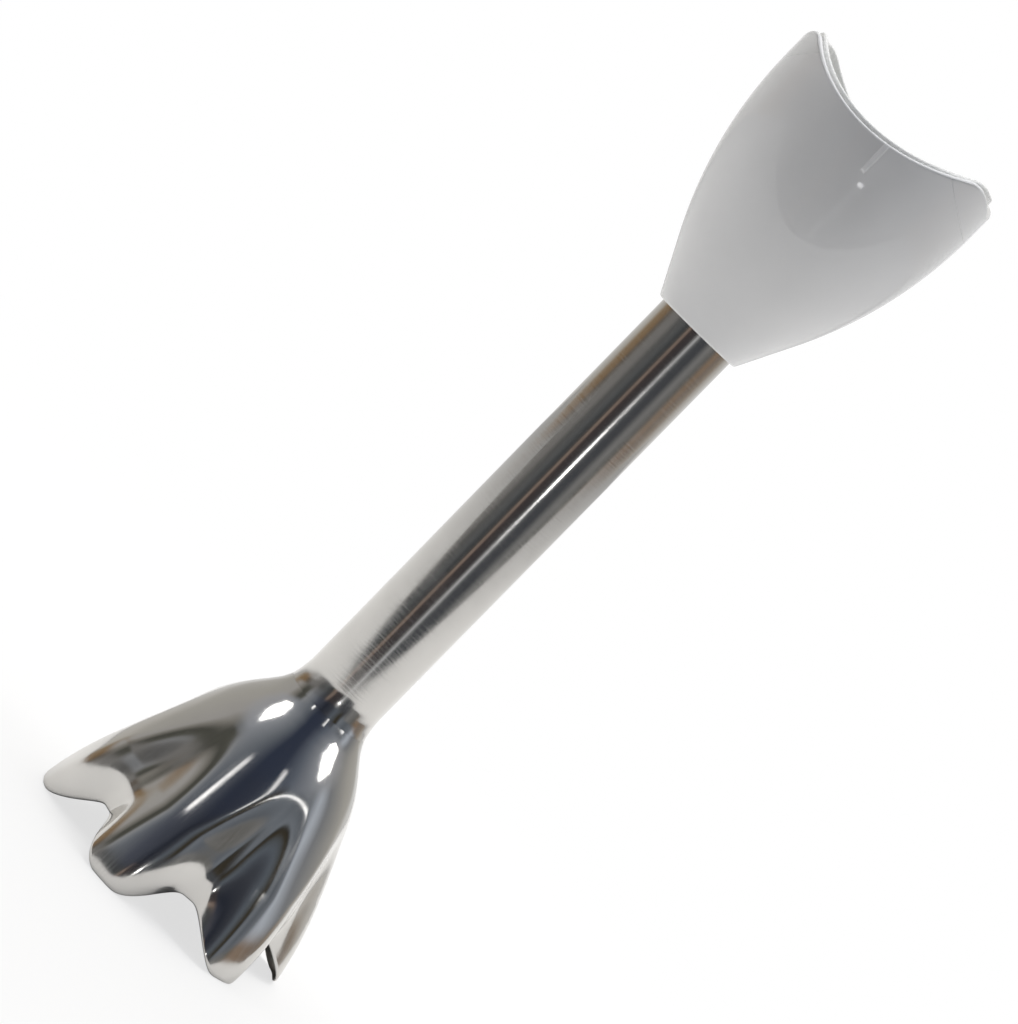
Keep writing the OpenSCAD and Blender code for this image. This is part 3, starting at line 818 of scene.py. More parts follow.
        top = calc("MULTIPLY", tall, 0.74)
        run = calc("DIVIDE", calc("SUBTRACT", top, z), top, clamp=True)
        widened = calc("MULTIPLY_ADD", calc("SQRT", calc("MULTIPLY", run, 2.0)), 0.75, 0.25)
        wide = calc("MINIMUM", widened, 1.0)
        under = calc("MAXIMUM", calc("SUBTRACT", curl_top, z), 0.0)
        curled = calc("MULTIPLY", curl, calc("MULTIPLY", under, under))
        inward = calc("MULTIPLY", depth, bench.eased(run, 0.0, 0.55))
        across = calc("SUBTRACT", slant_high, slant_low)
        risen = calc("DIVIDE", z, 34.0, clamp=True)
        leaning = calc("MULTIPLY_ADD", across, risen, calc("ADD", turn, slant_low))
        beside = calc("DIVIDE", from_flute(leaning), wide, clamp=True)
        pressed = bench.eased(beside, 0.08, 0.86, 1.0, 0.0)
        inward = calc("MULTIPLY", pressed, calc("MULTIPLY_ADD", curled, pressed, inward))
        outer = calc("SUBTRACT", lobe(z), inward)
        lean = calc("SUBTRACT", lobe(calc("SUBTRACT", z, 0.5)), lobe(calc("ADD", z, 0.5)))
        level_wall = calc("MULTIPLY", sheet, calc("SQRT", calc("MULTIPLY_ADD", lean, lean, 1.0)))
        radius = calc("SUBTRACT", outer, calc("MULTIPLY", known("depth"), level_wall))
        # the heat of welding leaves the sheet a little uneven under the ferrule
        dents = {"Vector": where, "Scale": 260.0, "Detail": 1.0}
        uneven = bench.add("ShaderNodeTexNoise", dents).outputs[0]
        near = bench.eased(known("up"), 0.84, 0.98, 0.0, 0.05)
        radius = calc("MULTIPLY_ADD", calc("SUBTRACT", uneven, 0.62), near, radius)
        flat = calc("MULTIPLY", radius, MM)
        spot = {i: calc("MULTIPLY", calc(f, angle), flat) for i, f in enumerate(("COSINE", "SINE"))}
        spot[2] = calc("MULTIPLY", z, MM)
        placed = bench.add("ShaderNodeCombineXYZ", spot).outputs[0]
        moved = {"Geometry": recipe.entry.outputs["Geometry"], "Position": placed}
        recipe.close(bench.add("GeometryNodeSetPosition", moved).outputs[0])
        return recipe

    def skirt(self, wardrobe: Wardrobe) -> None:
        """Presses the skirt and dresses it."""
        piece = self.pressing().apply(
            self.blank_skirt(), Flutes=float(self.flutes), Turn=math.radians(self.turn), Height=self.height,
            Rim_radius=self.rim_r, Neck_radius=self.neck_r, Flute_depth=self.flute_depth,
            Notch=self.notch, Sheet=self.sheet, Curl=self.curl, Curl_top=self.curl_top,
            Slant_low=math.radians(self.slant_low), Slant_high=math.radians(self.slant_high),
            Finish=wardrobe.made[Slot.MIRROR_STEEL],
        )  # fmt: skip
        piece.data.set_sharp_from_angle(angle=math.radians(50))
        wardrobe.settle(piece, Body.FOOT, Slot.MIRROR_STEEL, "bell_guard")

    def neck(self, wardrobe: Wardrobe) -> None:
        """Makes the ferrule, its hollow flare a little uneven from the weld."""
        top = self.height + self.ferrule
        step = self.neck_r - self.tube_r
        hollow = (self.ferrule**2 + step**2) / (2 * step)
        flare = [
            (self.tube_r + hollow - math.sqrt(hollow**2 - (top - z) ** 2), z)
            for z in (self.height + 0.02 + (self.ferrule - 0.08) * k / 18 for k in range(19))
        ]
        spigot = self.neck_r - 0.9
        section = rounded([(8.82, 49.5, 0.1), (spigot, 49.5, 0.1), (spigot, self.height - 0.3, 0)])
        section += flare + [(self.tube_r, top), (8.82, top)]
        rows = []
        for r, z in section:
            swell = 0.008 * window(z, self.height + 0.6, top - 0.5, 1.6) if r > 9.4 else 0.0
            waves = [(a, math.sin(5 * a + z) + math.sin(9 * a - 2 * z) - 1.4) for a in turns(240)]
            rows.append([around(r + swell * wave, a, z) for a, wave in waves])
        draft = Draft()
        draft.net(rows)
        wardrobe.settle(draft.finish("ferrule"), Body.FOOT, Slot.MIRROR_STEEL, "neck_ferrule")

    def build(self, wardrobe: Wardrobe) -> None:
        """Builds skirt and neck."""
        self.skirt(wardrobe)
        self.neck(wardrobe)


# ---------- tube and what turns in it ----------


@dataclass
class TurnedPart:
    """A part that comes off a lathe: one closed section with rounded corners."""

    name: str
    node: str
    body: Body
    slot: Slot
    corners: Sequence[Corner]
    steps: int = 144

    def build(self, wardrobe: Wardrobe) -> None:
        """Turns the section and dresses it."""
        draft = Draft()
        draft.turn(rounded(self.corners), self.steps)
        wardrobe.settle(draft.finish(self.name), self.body, self.slot, self.node)


@dataclass
class TubeAndShaft:
    """The long tube, the hub in its lower end, and the shaft that runs through it."""

    tube_r: float = 9.5
    tube_in: float = 8.8
    tube_low: float = 58.0
    tube_top: float = 181.5
    flange_r: float = 11.0
    shaft_r: float = 2.5
    shaft_low: float = 10.0
    shaft_top: float = 192.7
    hub_low: float = 31.8
    hub_flange: float = 49.5
    hub_top: float = 70.0
    boss_low: float = 14.8
    boss_top: float = 30.0
    cap_low: float = 30.6
    cap_r: float = 8.5

    def parts(self) -> list[TurnedPart]:
        """Every turned part, from its sizes."""
        r, inside, shaft = self.tube_r, self.tube_in, self.shaft_r
        foot, rotor = Body.FOOT, Body.ROTOR
        rolled = self.tube_top - 0.7
        waist = shaft + 1.4
        return [
            TurnedPart("steel_tube", "tube", foot, Slot.TUBE_STEEL, [
                (inside, self.tube_low, 0.05), (r, self.tube_low, 0), (r, rolled, 0.3),
                (self.flange_r, rolled, 0.2), (self.flange_r, self.tube_top, 0.2),
                (inside, self.tube_top, 0.3),
            ], 240),
            TurnedPart("bearing_hub", "hub_housing", foot, Slot.BEARING_PLASTIC, [
                (6.0, self.hub_low, 0.2), (7.7, self.hub_low, 0.3), (8.78, 47.5, 0.2),
                (9.6, 47.5, 0.2), (9.6, self.hub_flange, 0.2), (inside - 0.01, self.hub_flange, 0.1),
                (inside - 0.01, self.hub_top, 0.4), (shaft + 0.6, self.hub_top, 0.3),
                (shaft + 0.6, 51.9, 0.1), (5.0, 51.9, 0.1), (5.0, 36.3, 0.1), (6.0, 36.3, 0.1),
            ]),
            TurnedPart("seal_cup", "seal_cap", foot, Slot.SHAFT_STEEL, [
                (shaft + 0.6, self.cap_low, 0.25), (self.cap_r, self.cap_low, 0.8),
                (self.cap_r, 35.0, 0.2), (7.95, 35.0, 0.15), (7.72, self.hub_low + 0.01, 0.1),
                (shaft + 0.6, self.hub_low + 0.01, 0.2),
            ]),
            TurnedPart("lip_seal", "shaft_seal", foot, Slot.SEAL_RUBBER, [
                (3.43, self.hub_low + 0.02, 0.2), (5.99, self.hub_low + 0.02, 0.2),
                (5.99, 36.2, 0.2), (2.54, 36.2, 0.1), (2.54, 34.9, 0.1),
            ]),
            TurnedPart("blade_spacer", "blade_boss", rotor, Slot.SHAFT_STEEL, [
                (shaft, self.boss_low, 0.1), (shaft + 2.2, self.boss_low, 0.3),
                (shaft + 2.2, self.boss_low + 2, 0.25), (waist, self.boss_low + 2, 0.4),
                (waist, self.boss_top - 3, 0.4), (shaft + 2.2, self.boss_top - 3, 0.25),
                (shaft + 2.2, self.boss_top, 0.4), (shaft, self.boss_top, 0.1),
            ]),
        ]

    def shaft(self, wardrobe: Wardrobe) -> None:
        """Makes the shaft with its clip grooves and chamfered ends."""
        r, groove = self.shaft_r, self.shaft_r - 0.4
        side = [(r - 0.5, self.shaft_low), (r, self.shaft_low + 0.5)]
        for low in (37.2, 182.9):
            side += [(r, low - 0.06), (r - 0.05, low), (groove, low), (groove, low + 0.7)]
            side += [(r - 0.05, low + 0.7), (r, low + 0.76)]
        side += [(r, self.shaft_top - 0.5), (r - 0.12, self.shaft_top - 0.15), (r - 0.5, self.shaft_top)]
        draft = Draft()
        draft.turn([(0.0, self.shaft_low)] + side + [(0.0, self.shaft_top)], 96, closed=False)
        wardrobe.settle(draft.finish("drive_rod"), Body.ROTOR, Slot.SHAFT_STEEL, "drive_shaft")

    def build(self, wardrobe: Wardrobe) -> None:
        """Builds tube, hub, cup, seal, spacer and shaft."""
        for part in self.parts():
            part.build(wardrobe)
        self.shaft(wardrobe)


# ---------- blade ----------


@dataclass
class Blade:
    """The stamped cross with its ground edges, and the domed nut under it."""

    plate_z: float = 13.6
    sheet: float = 1.2
    wings: int = 4
    rise: float = 5.0
    wing_w: float = 9.0
    root: float = 5.0
    tip_x: float = 20.9
    tip_r: float = 2.4
    shaft_r: float = 2.5
    nut_h: float = 3.0
    hex_r: float = 4.4
    dome_r: float = 3.4

    def edges(self, s: float, run: float) -> Spot:
        """Where a wing's two edges lie at a station along it.

        Args:
            s: Distance from the root.
            run: Length of the wing.

        Returns:
            The trailing and the leading edge, across the wing.
        """
        half = self.wing_w / 2
        knee = 0.55 * run
        past = s - (run - self.tip_r)
        cap = math.sqrt(max(0.0, self.tip_r**2 - past**2)) if past > 0 else self.tip_r
        high = (half - 1) + (self.tip_r - half + 1) * clamp01(s / (run - self.tip_r))
        high = min(high, cap)
        low = half - 0.4 * s / knee if s < knee else half - 0.4 - (half - 1) * (s - knee) / (run - knee)
        low = min(low, cap + max(0.0, (run - 0.9 - s) * 1.2))
        return -max(0.02, low), max(0.02, high)

    def wing(self, draft: Draft, number: int) -> None:
        """Adds one wing, bent down or up in turn."""
        way = -1 if number % 2 == 0 else 1
        bend = math.atan(self.rise / (self.tip_x - self.root))
        run = (self.tip_x - self.root) / math.cos(bend) - 0.15
        stations = [-1.2 + (run + 1.2) * k / 44 for k in range(44)] + [run - 0.12, run - 0.03, run]
        turned = TAU * number / self.wings
        x, z, last = self.root - 1.2, self.plate_z + self.sheet / 2, stations[0]
        rows = []
        for s in stations:
            lean = way * bend * ease((s + 0.9) / 1.8)
            x += (s - last) * math.cos(lean)
            z += (s - last) * math.sin(lean)
            last = s
            low, high = self.edges(max(0.0, s), run)
            half, keen = self.sheet / 2, 0.12
            slope = min(1.9, (high - low) * 0.35)
            shape = [
                (low, -keen), (low, keen), (low + slope * 0.5, half * 0.62), (low + slope, half),
                (high - 0.9 * slope, half), (high - slope * 0.45, half * 0.66),
                (high, keen), (high, -keen),
                (high - 0.3, -half), ((low + high) / 2, -half), (low + 0.3, -half),
            ]
            taper = clamp01((run - s) / 0.5 + 0.25)
            ring = []
            for across, lift in shape:
                lift *= taper
                px, pz = x - lift * math.sin(lean), z + lift * math.cos(lean)
                ring.append((
                    px * math.cos(turned) - across * math.sin(turned),
                    px * math.sin(turned) + across * math.cos(turned), pz,
                ))  # fmt: skip
            rows.append(ring)
        centres = []
        for row in (rows[0], rows[-1]):
            mid = tuple(sum(p[i] for p in row) / len(row) for i in range(3))
            centres.append([mid] * len(row))
        draft.net([centres[0], *rows, centres[1]], closed=False)

    def cross(self, wardrobe: Wardrobe) -> None:
        """Makes the ring and its wings."""
        draft = Draft()
        top, outer = self.plate_z + self.sheet, self.root + 1.4
        draft.turn(rounded([
            (self.shaft_r, self.plate_z, 0.1), (outer, self.plate_z, 0.25),
            (outer, top, 0.25), (self.shaft_r, top, 0.1),
        ]), 120)  # fmt: skip
        for number in range(self.wings):
            self.wing(draft, number)
        wardrobe.settle(draft.finish("cross_blade"), Body.ROTOR, Slot.BLADE_STEEL, "blade")

    def nut(self, wardrobe: Wardrobe) -> None:
        """Makes the chamfered hexagon nut with its dome."""
        low = self.plate_z - self.nut_h
        flat_r = self.hex_r * math.cos(math.pi / 6)

        def hexed(a: float, limit: float) -> float:
            """Radius of the hexagon at an angle, cut back by a chamfer."""
            m = (a % (TAU / 6)) - TAU / 12
            return min(flat_r / math.cos(m), limit)

        face = [(self.hex_r - 0.35, self.plate_z), (self.hex_r - 0.1, self.plate_z - 0.12)]
        face += [(self.hex_r, self.plate_z - 0.3), (self.hex_r, low + 0.5)]
        face += [(self.hex_r - 0.12, low + 0.24), (self.hex_r - 0.4, low + 0.02)]
        face += [(self.dome_r + 0.12, low)]
        dome = [
            (self.dome_r * math.cos(t), low - self.dome_r * math.sin(t))
            for t in (math.pi / 2 * k / 14 for k in range(15))
        ]
        angles = turns(180)
        rows = [
            [around(hexed(a, r), a, z) for a in angles]
            for r, z in [(0.0, self.plate_z)] + face + dome
        ]
        draft = Draft()
        draft.net(rows, closed=False)
        wardrobe.settle(draft.finish("cap_nut"), Body.ROTOR, Slot.SHAFT_STEEL, "blade_nut")

    def build(self, wardrobe: Wardrobe) -> None:
        """Builds cross and nut."""
        self.cross(wardrobe)
        self.nut(wardrobe)


# ---------- collar ----------


@dataclass
class Flare:
    """The half outline that the collar's cover and liner share: a cone, then a long arc."""

    foot_z: float = 161.2
    widest_z: float = 214.0
    foot_r: float = 10.6
    wide_r: float = 26.5
    straight: float = 12.0
    angle: float = field(init=False)
    arc_r: float = field(init=False)

    def __post_init__(self) -> None:
        """Finds the cone's angle, by halving the span that must hold it."""
        tall = self.widest_z - self.foot_z - self.straight
        low, high = 0.0, 0.9
        for _ in range(30):
            t = (low + high) / 2
            reach = tall * t + self.straight * 2 * t / (1 - t * t)
            low, high = (low, t) if reach > self.wide_r - self.foot_r else (t, high)
        self.angle = 2 * math.atan(low)
        self.arc_r = tall / math.sin(self.angle)

    def radius(self, z: float, inset: float = 0.0) -> float:
        """Radius of the outline at a height, drawn in by a wall."""
        drop = self.widest_z - z
        arc = self.arc_r - inset
        if drop <= 0:
            return self.wide_r - inset
        if drop <= arc * math.sin(self.angle):
            return self.wide_r - self.arc_r + math.sqrt(arc * arc - drop * drop)
        return self.foot_r + (z - self.foot_z) * math.tan(self.angle) - inset / math.cos(self.angle)


@dataclass
class Saddle:
    """The collar's open top: two ears and a round dip between them."""

    peak: float
    dip_depth: float = 7.8
    dip_r: float = 34.4
    ear_round: float = 4.5
    flat_x: float = 22.2
    soften: float = 0.35

    def height(self, x: float) -> float:
        """Height of the rim at a distance to the side."""
        x = abs(x)
        dip = self.peak - self.dip_depth + self.dip_r - math.sqrt(self.dip_r**2 - x * x)
        past = max(0.0, x - self.flat_x)
        ear = self.peak - self.ear_round + math.sqrt(max(0.0, self.ear_round**2 - past * past))
        share = clamp01(0.5 + (ear - dip) / (2 * self.soften))
        return ear + (dip - ear) * share - self.soften * share * (1 - share)


@dataclass
class Collar:
    """The glossy cover, the liner inside it with the motor socket, and the drive star."""

    flare: Flare = field(default_factory=Flare)
    cover_saddle: Saddle = field(default_factory=lambda: Saddle(221.4))
    liner_saddle: Saddle = field(default_factory=lambda: Saddle(222.5))
    wall: float = 2.0
    gap: float = 0.1
    lip: float = 1.6
    foot_h: float = 5.4
    bore_r: float = 9.6
    mark_turn: float = -77.7
    mark_top: float = 213.7
    mark_len: float = 6.8
    mark_w: float = 1.1
    mark_out: float = 0.2
    socket_r: float = 19.0
    socket_wall: float = 2.0
    socket_top: float = 210.0
    socket_floor: float = 193.0
    well_r: float = 8.5
    well_floor: float = 185.5
    holder_top: float = 183.5
    screw_circle: float = 13.0
    head_r: float = 2.2

    def mark(self, degrees: float, z: float) -> float:
        """How far the index mark stands out at a place on the cover."""
        reach = math.degrees(self.mark_w / 2 / self.flare.wide_r)
        across = window(degrees, self.mark_turn + 360 - reach, self.mark_turn + 360 + reach, 0.5)
        return self.mark_out * across * window(z, self.mark_top - self.mark_len, self.mark_top, 0.3)

    def cover(self, wardrobe: Wardrobe) -> None:
        """Makes the cover: flared outside, rounded rim and foot, and its inner wall."""
        flare, saddle = self.flare, self.cover_saddle
        base, top_of_foot = flare.foot_z, flare.foot_z + self.foot_h
        inner_r = flare.wide_r - self.wall
        angles = turns(300, [(279.6, 284.8, 0.2)])
        levels = [k / 60 * 0.8 for k in range(60)] + [0.8 + 0.2 * k / 44 for k in range(45)]
        columns = []
        for a in angles:
            degrees = math.degrees(a)
            rim = saddle.height(flare.wide_r * math.cos(a))
            rim_in = saddle.height(inner_r * math.cos(a))
            corners: list[Corner] = [(self.bore_r, base, 0.2), (flare.foot_r, base, 0.7)]
            for level in levels:
                z = base + 1.0 + (rim - 0.8 - base - 1.0) * level
                corners.append((flare.radius(z) + self.mark(degrees, z), z, 0))
            corners += [(flare.radius(rim), rim, 0.65), (inner_r, rim_in, 0.45)]
            for k in range(25):
                z = rim_in - 0.8 - (rim_in - 0.8 - top_of_foot - 1.0) * k / 24
                corners.append((flare.radius(z, self.wall), z, 0))
            corners.append((flare.radius(top_of_foot, self.wall), top_of_foot, 0.4))
            corners.append((self.bore_r, top_of_foot, 0.2))
            columns.append([around(r, a, z) for r, z in rounded(corners, 6)])
        draft = Draft()
        draft.net(columns)
        wardrobe.settle(draft.finish("collar_cover"), Body.FOOT, Slot.SHELL_PLASTIC, "coupling_shell")

    def socket_cut(self, degrees: float, z: float) -> float:
        """How deep keyways and latch pockets go into the socket's wall at a place."""
        key = max(window(degrees, m - 4, m + 4, 0.5) for m in (90, 270))
        pocket = max(window((degrees + 180) % 360, m - 15, m + 15, 0.5) for m in (0.01, 180, 359.99))
        return max(0.9 * key, 1.1 * pocket * window(z, 200.0, 204.0, 0.3))

    def liner(self, wardrobe: Wardrobe) -> None:
        """Makes the liner: proud lip, moat, socket with its pockets, floor and well."""
        flare, saddle = self.flare, self.liner_saddle
        inset = self.wall + self.gap
        lip_r, lip_in = flare.wide_r - inset, flare.wide_r - inset - self.lip
        outer, web, low = self.socket_r + self.socket_wall, self.socket_top - 2, self.socket_top - 4
        first, deep = self.socket_top - 0.5, self.socket_top - 0.5 - self.socket_floor - 0.4
        heights = [first - deep * k / 40 for k in range(41)]
        fine = [(m + e - 0.6, m + e + 0.6, 0.15) for m in (90, 270) for e in (-4, 4)]
        fine += [(m + e - 0.6, m + e + 0.6, 0.15) for m in (0, 180) for e in (-15, 15)]
        angles = turns(240, fine)
        columns = []
        for a in angles:
            degrees = math.degrees(a)
            rim, rim_in = saddle.height(lip_r * math.cos(a)), saddle.height(lip_in * math.cos(a))
            corners: list[Corner] = [(flare.radius(low, inset), low, 0.0)]
            rising = (low + 1 + (rim - 2 - low) * k / 8 for k in range(9))
            corners += [(flare.radius(z, inset), z, 0) for z in rising]
            corners += [(lip_r, rim, 0.6), (lip_in, rim_in, 0.6)]
            inner = (rim_in - 1 - (rim_in - 2 - web) * k / 8 for k in range(9))
            corners += [(flare.radius(z, inset + self.lip), z, 0) for z in inner]
            corners += [(flare.radius(web, inset + self.lip), web, 0.3), (outer, web, 0.2)]
            key = self.socket_cut(degrees, self.socket_top)
            corners += [(outer, self.socket_top, 0.35), (self.socket_r + key, self.socket_top, 0.3)]
            corners += [(self.socket_r + self.socket_cut(degrees, z), z, 0) for z in heights]
            corners += [(self.socket_r + key, self.socket_floor, 0.0), (8.0, self.socket_floor, 0.0)]
            section = rounded(corners, 4)[:-1]
            columns.append([around(r, a, z) for r, z in section])
        draft = Draft()
        ids = draft.net(list(zip(*columns)), closed=False)
        skirt_r = min(outer, flare.radius(self.socket_floor - 2.5, inset))
        under = rounded([
            (self.well_r, self.socket_floor, 0.3), (self.well_r, self.well_floor, 0.3),
            (5.2, self.well_floor, 0.1), (5.2, self.holder_top + 0.01, 0.1),
            (self.well_r + 2, self.holder_top + 0.01, 0.2),
            (self.well_r + 2, self.socket_floor - 2.5, 0.2), (skirt_r, self.socket_floor - 2.5, 0.2),
            (outer - 0.01, low + 0.01, 0.0), (flare.radius(low, inset), low, 0.0), (12, self.socket_floor, 0),
        ])[:-1]  # fmt: skip
        well = draft.net([[around(r, a, z) for a in angles] for r, z in under], closed=False)
        holes = []
        for k in range(3):
            a = math.radians(90 + 120 * k)
            centre = (self.screw_circle * math.cos(a), self.screw_circle * math.sin(a))
            r, seat = self.head_r + self.gap, self.socket_floor - 1.8
            cut = [(r + 0.15, self.socket_floor), (r + 0.04, self.socket_floor - 0.05)]
            cut += [(r, self.socket_floor - 0.16), (r, seat), (0.0, seat)]
            holes.append(draft.turn(cut, 64, closed=False, centre=centre)[0])
        draft.plate(list(ids[-1]), list(well[0]), *holes)
        wardrobe.settle(draft.finish("socket_liner"), Body.FOOT, Slot.LINER_PLASTIC, "coupling_liner")

    def screws(self, wardrobe: Wardrobe, ring: Recipe) -> None:
        """Makes one cross-recessed screw and sets its copies in the socket's floor."""
        top = self.socket_floor - 0.2
        draft = Draft()
        draft.turn([
            (0.0, top), (1.2, top), (1.75, top - 0.05), (2.05, top - 0.2), (2.19, top - 0.45),
            (2.2, top - 0.8), (2.2, top - 1.55), (2.15, top - 1.6), (1.25, top - 1.6),
            (1.2, top - 1.7), (1.2, 176.4), (0.8, 175.8), (0.0, 175.8),
        ], 72, closed=False)  # fmt: skip
        screw = draft.finish("floor_screws")
        cross = Draft()
        for turned in (0.0, math.pi / 2):
            rows = []
            levels = ((top + 0.5, 1.45, 0.34), (top - 0.1, 1.32, 0.32), (top - 1.0, 0.7, 0.24))
            for z, half, thin in levels:
                ring_of = [(half, thin), (-half, thin), (-half, -thin), (half, -thin)]
                c, s = math.cos(turned), math.sin(turned)
                rows.append([(x * c - y * s, x * s + y * c, z) for x, y in ring_of])
            ends = [[(0.0, 0.0, row[0][2])] * 4 for row in (rows[0], rows[-1])]
            cross.net([ends[0], *rows, ends[1]], closed=False)
        cutter = cross.finish("cross cutter")
        cut = screw.modifiers.new("cross", "BOOLEAN")
        cut.operation, cut.solver, cut.object, cut.use_self = "DIFFERENCE", "EXACT", cutter, True
        graph = bpy.context.evaluated_depsgraph_get()
        screw.data = bpy.data.meshes.new_from_object(screw.evaluated_get(graph))
        screw.modifiers.clear()
        bpy.data.objects.remove(cutter)
        screw.data.set_sharp_from_angle(angle=math.radians(35))
        first = math.radians(90)
        ring.apply(
            screw, Count=3, Radius=self.screw_circle * MM, First_angle=first, Height=0.0,
            Finish=wardrobe.made[Slot.SCREW_STEEL],
        )  # fmt: skip
        wardrobe.settle(screw, Body.FOOT, Slot.SCREW_STEEL, "clamp_screws")

    def star(self, wardrobe: Wardrobe, ring: Recipe) -> None:
        """Makes the drive star: a bored hub and six teeth set round it."""
        tooth = Draft()
        low, high = 186.5, 190.0
        shape = [(3.4, -1.5), (6.2, -0.9), (6.6, -0.5), (6.6, 0.5), (6.2, 0.9), (3.4, 1.5)]
        levels = [(low, 0.86), (low + 0.12, 0.96), (low + 0.3, 1.0)]
        levels += [(high - 0.3, 1.0), (high - 0.12, 0.96), (high, 0.86)]
        rows = [[(4 + (x - 4) * s, y * s, z) for x, y in shape] for z, s in levels]
        caps = [[(5.0, 0.0, row[0][2])] * 6 for row in (rows[0], rows[-1])]
        tooth.net([caps[0], *rows, caps[1]], closed=False)
        teeth = tooth.finish("star_teeth")
        finish = wardrobe.made[Slot.STAR_PLASTIC]
        ring.apply(teeth, Count=6, Radius=0.0, First_angle=0.0, Height=0.0, Finish=finish)
        teeth.data.set_sharp_from_angle(angle=math.radians(40))
        wardrobe.settle(teeth, Body.ROTOR, Slot.STAR_PLASTIC, "drive_star")
        hub = [(2.5, 183.9, 0.15), (4.4, 183.9, 0.25), (4.4, high, 0.3), (2.5, high, 0.2)]
        TurnedPart("star_hub", "drive_star", Body.ROTOR, Slot.STAR_PLASTIC, hub, 96).build(wardrobe)

    def build(self, wardrobe: Wardrobe) -> None:
        """Builds cover, liner, screws and star."""
        ring = round_the_axis()
        self.cover(wardrobe)
        self.liner(wardrobe)
        self.screws(wardrobe, ring)
        self.star(wardrobe, ring)


# ---------- parts that keep their CAD shape ----------


@dataclass
class InnerParts:
    """Hidden parts whose CAD shape is right, and which only take a finish."""

    slots: dict[str, Slot] = field(default_factory=lambda: {
        "lower_bush": Slot.BRONZE, "upper_bush": Slot.BRONZE,
        "housing_o_ring": Slot.SEAL_RUBBER, "collar_o_ring": Slot.SEAL_RUBBER,
        "shaft_guide": Slot.BEARING_PLASTIC, "bearing_holder": Slot.BEARING_PLASTIC,
        "clamp_ring": Slot.BEARING_PLASTIC, "upper_washer": Slot.WASHER_PLASTIC,
        "lower_washer": Slot.WASHER_PLASTIC, "upper_clip": Slot.CLIP_STEEL,
        "lower_clip": Slot.CLIP_STEEL, "star_pin": Slot.SHAFT_STEEL,
    })  # fmt: skip

    def build(self, wardrobe: Wardrobe, nodes: dict[str, bpy.types.Object]) -> None:
        """Dresses each of them."""
        for name, slot in self.slots.items():
            wardrobe.dress(nodes[name], slot)


# ---------- studio ----------


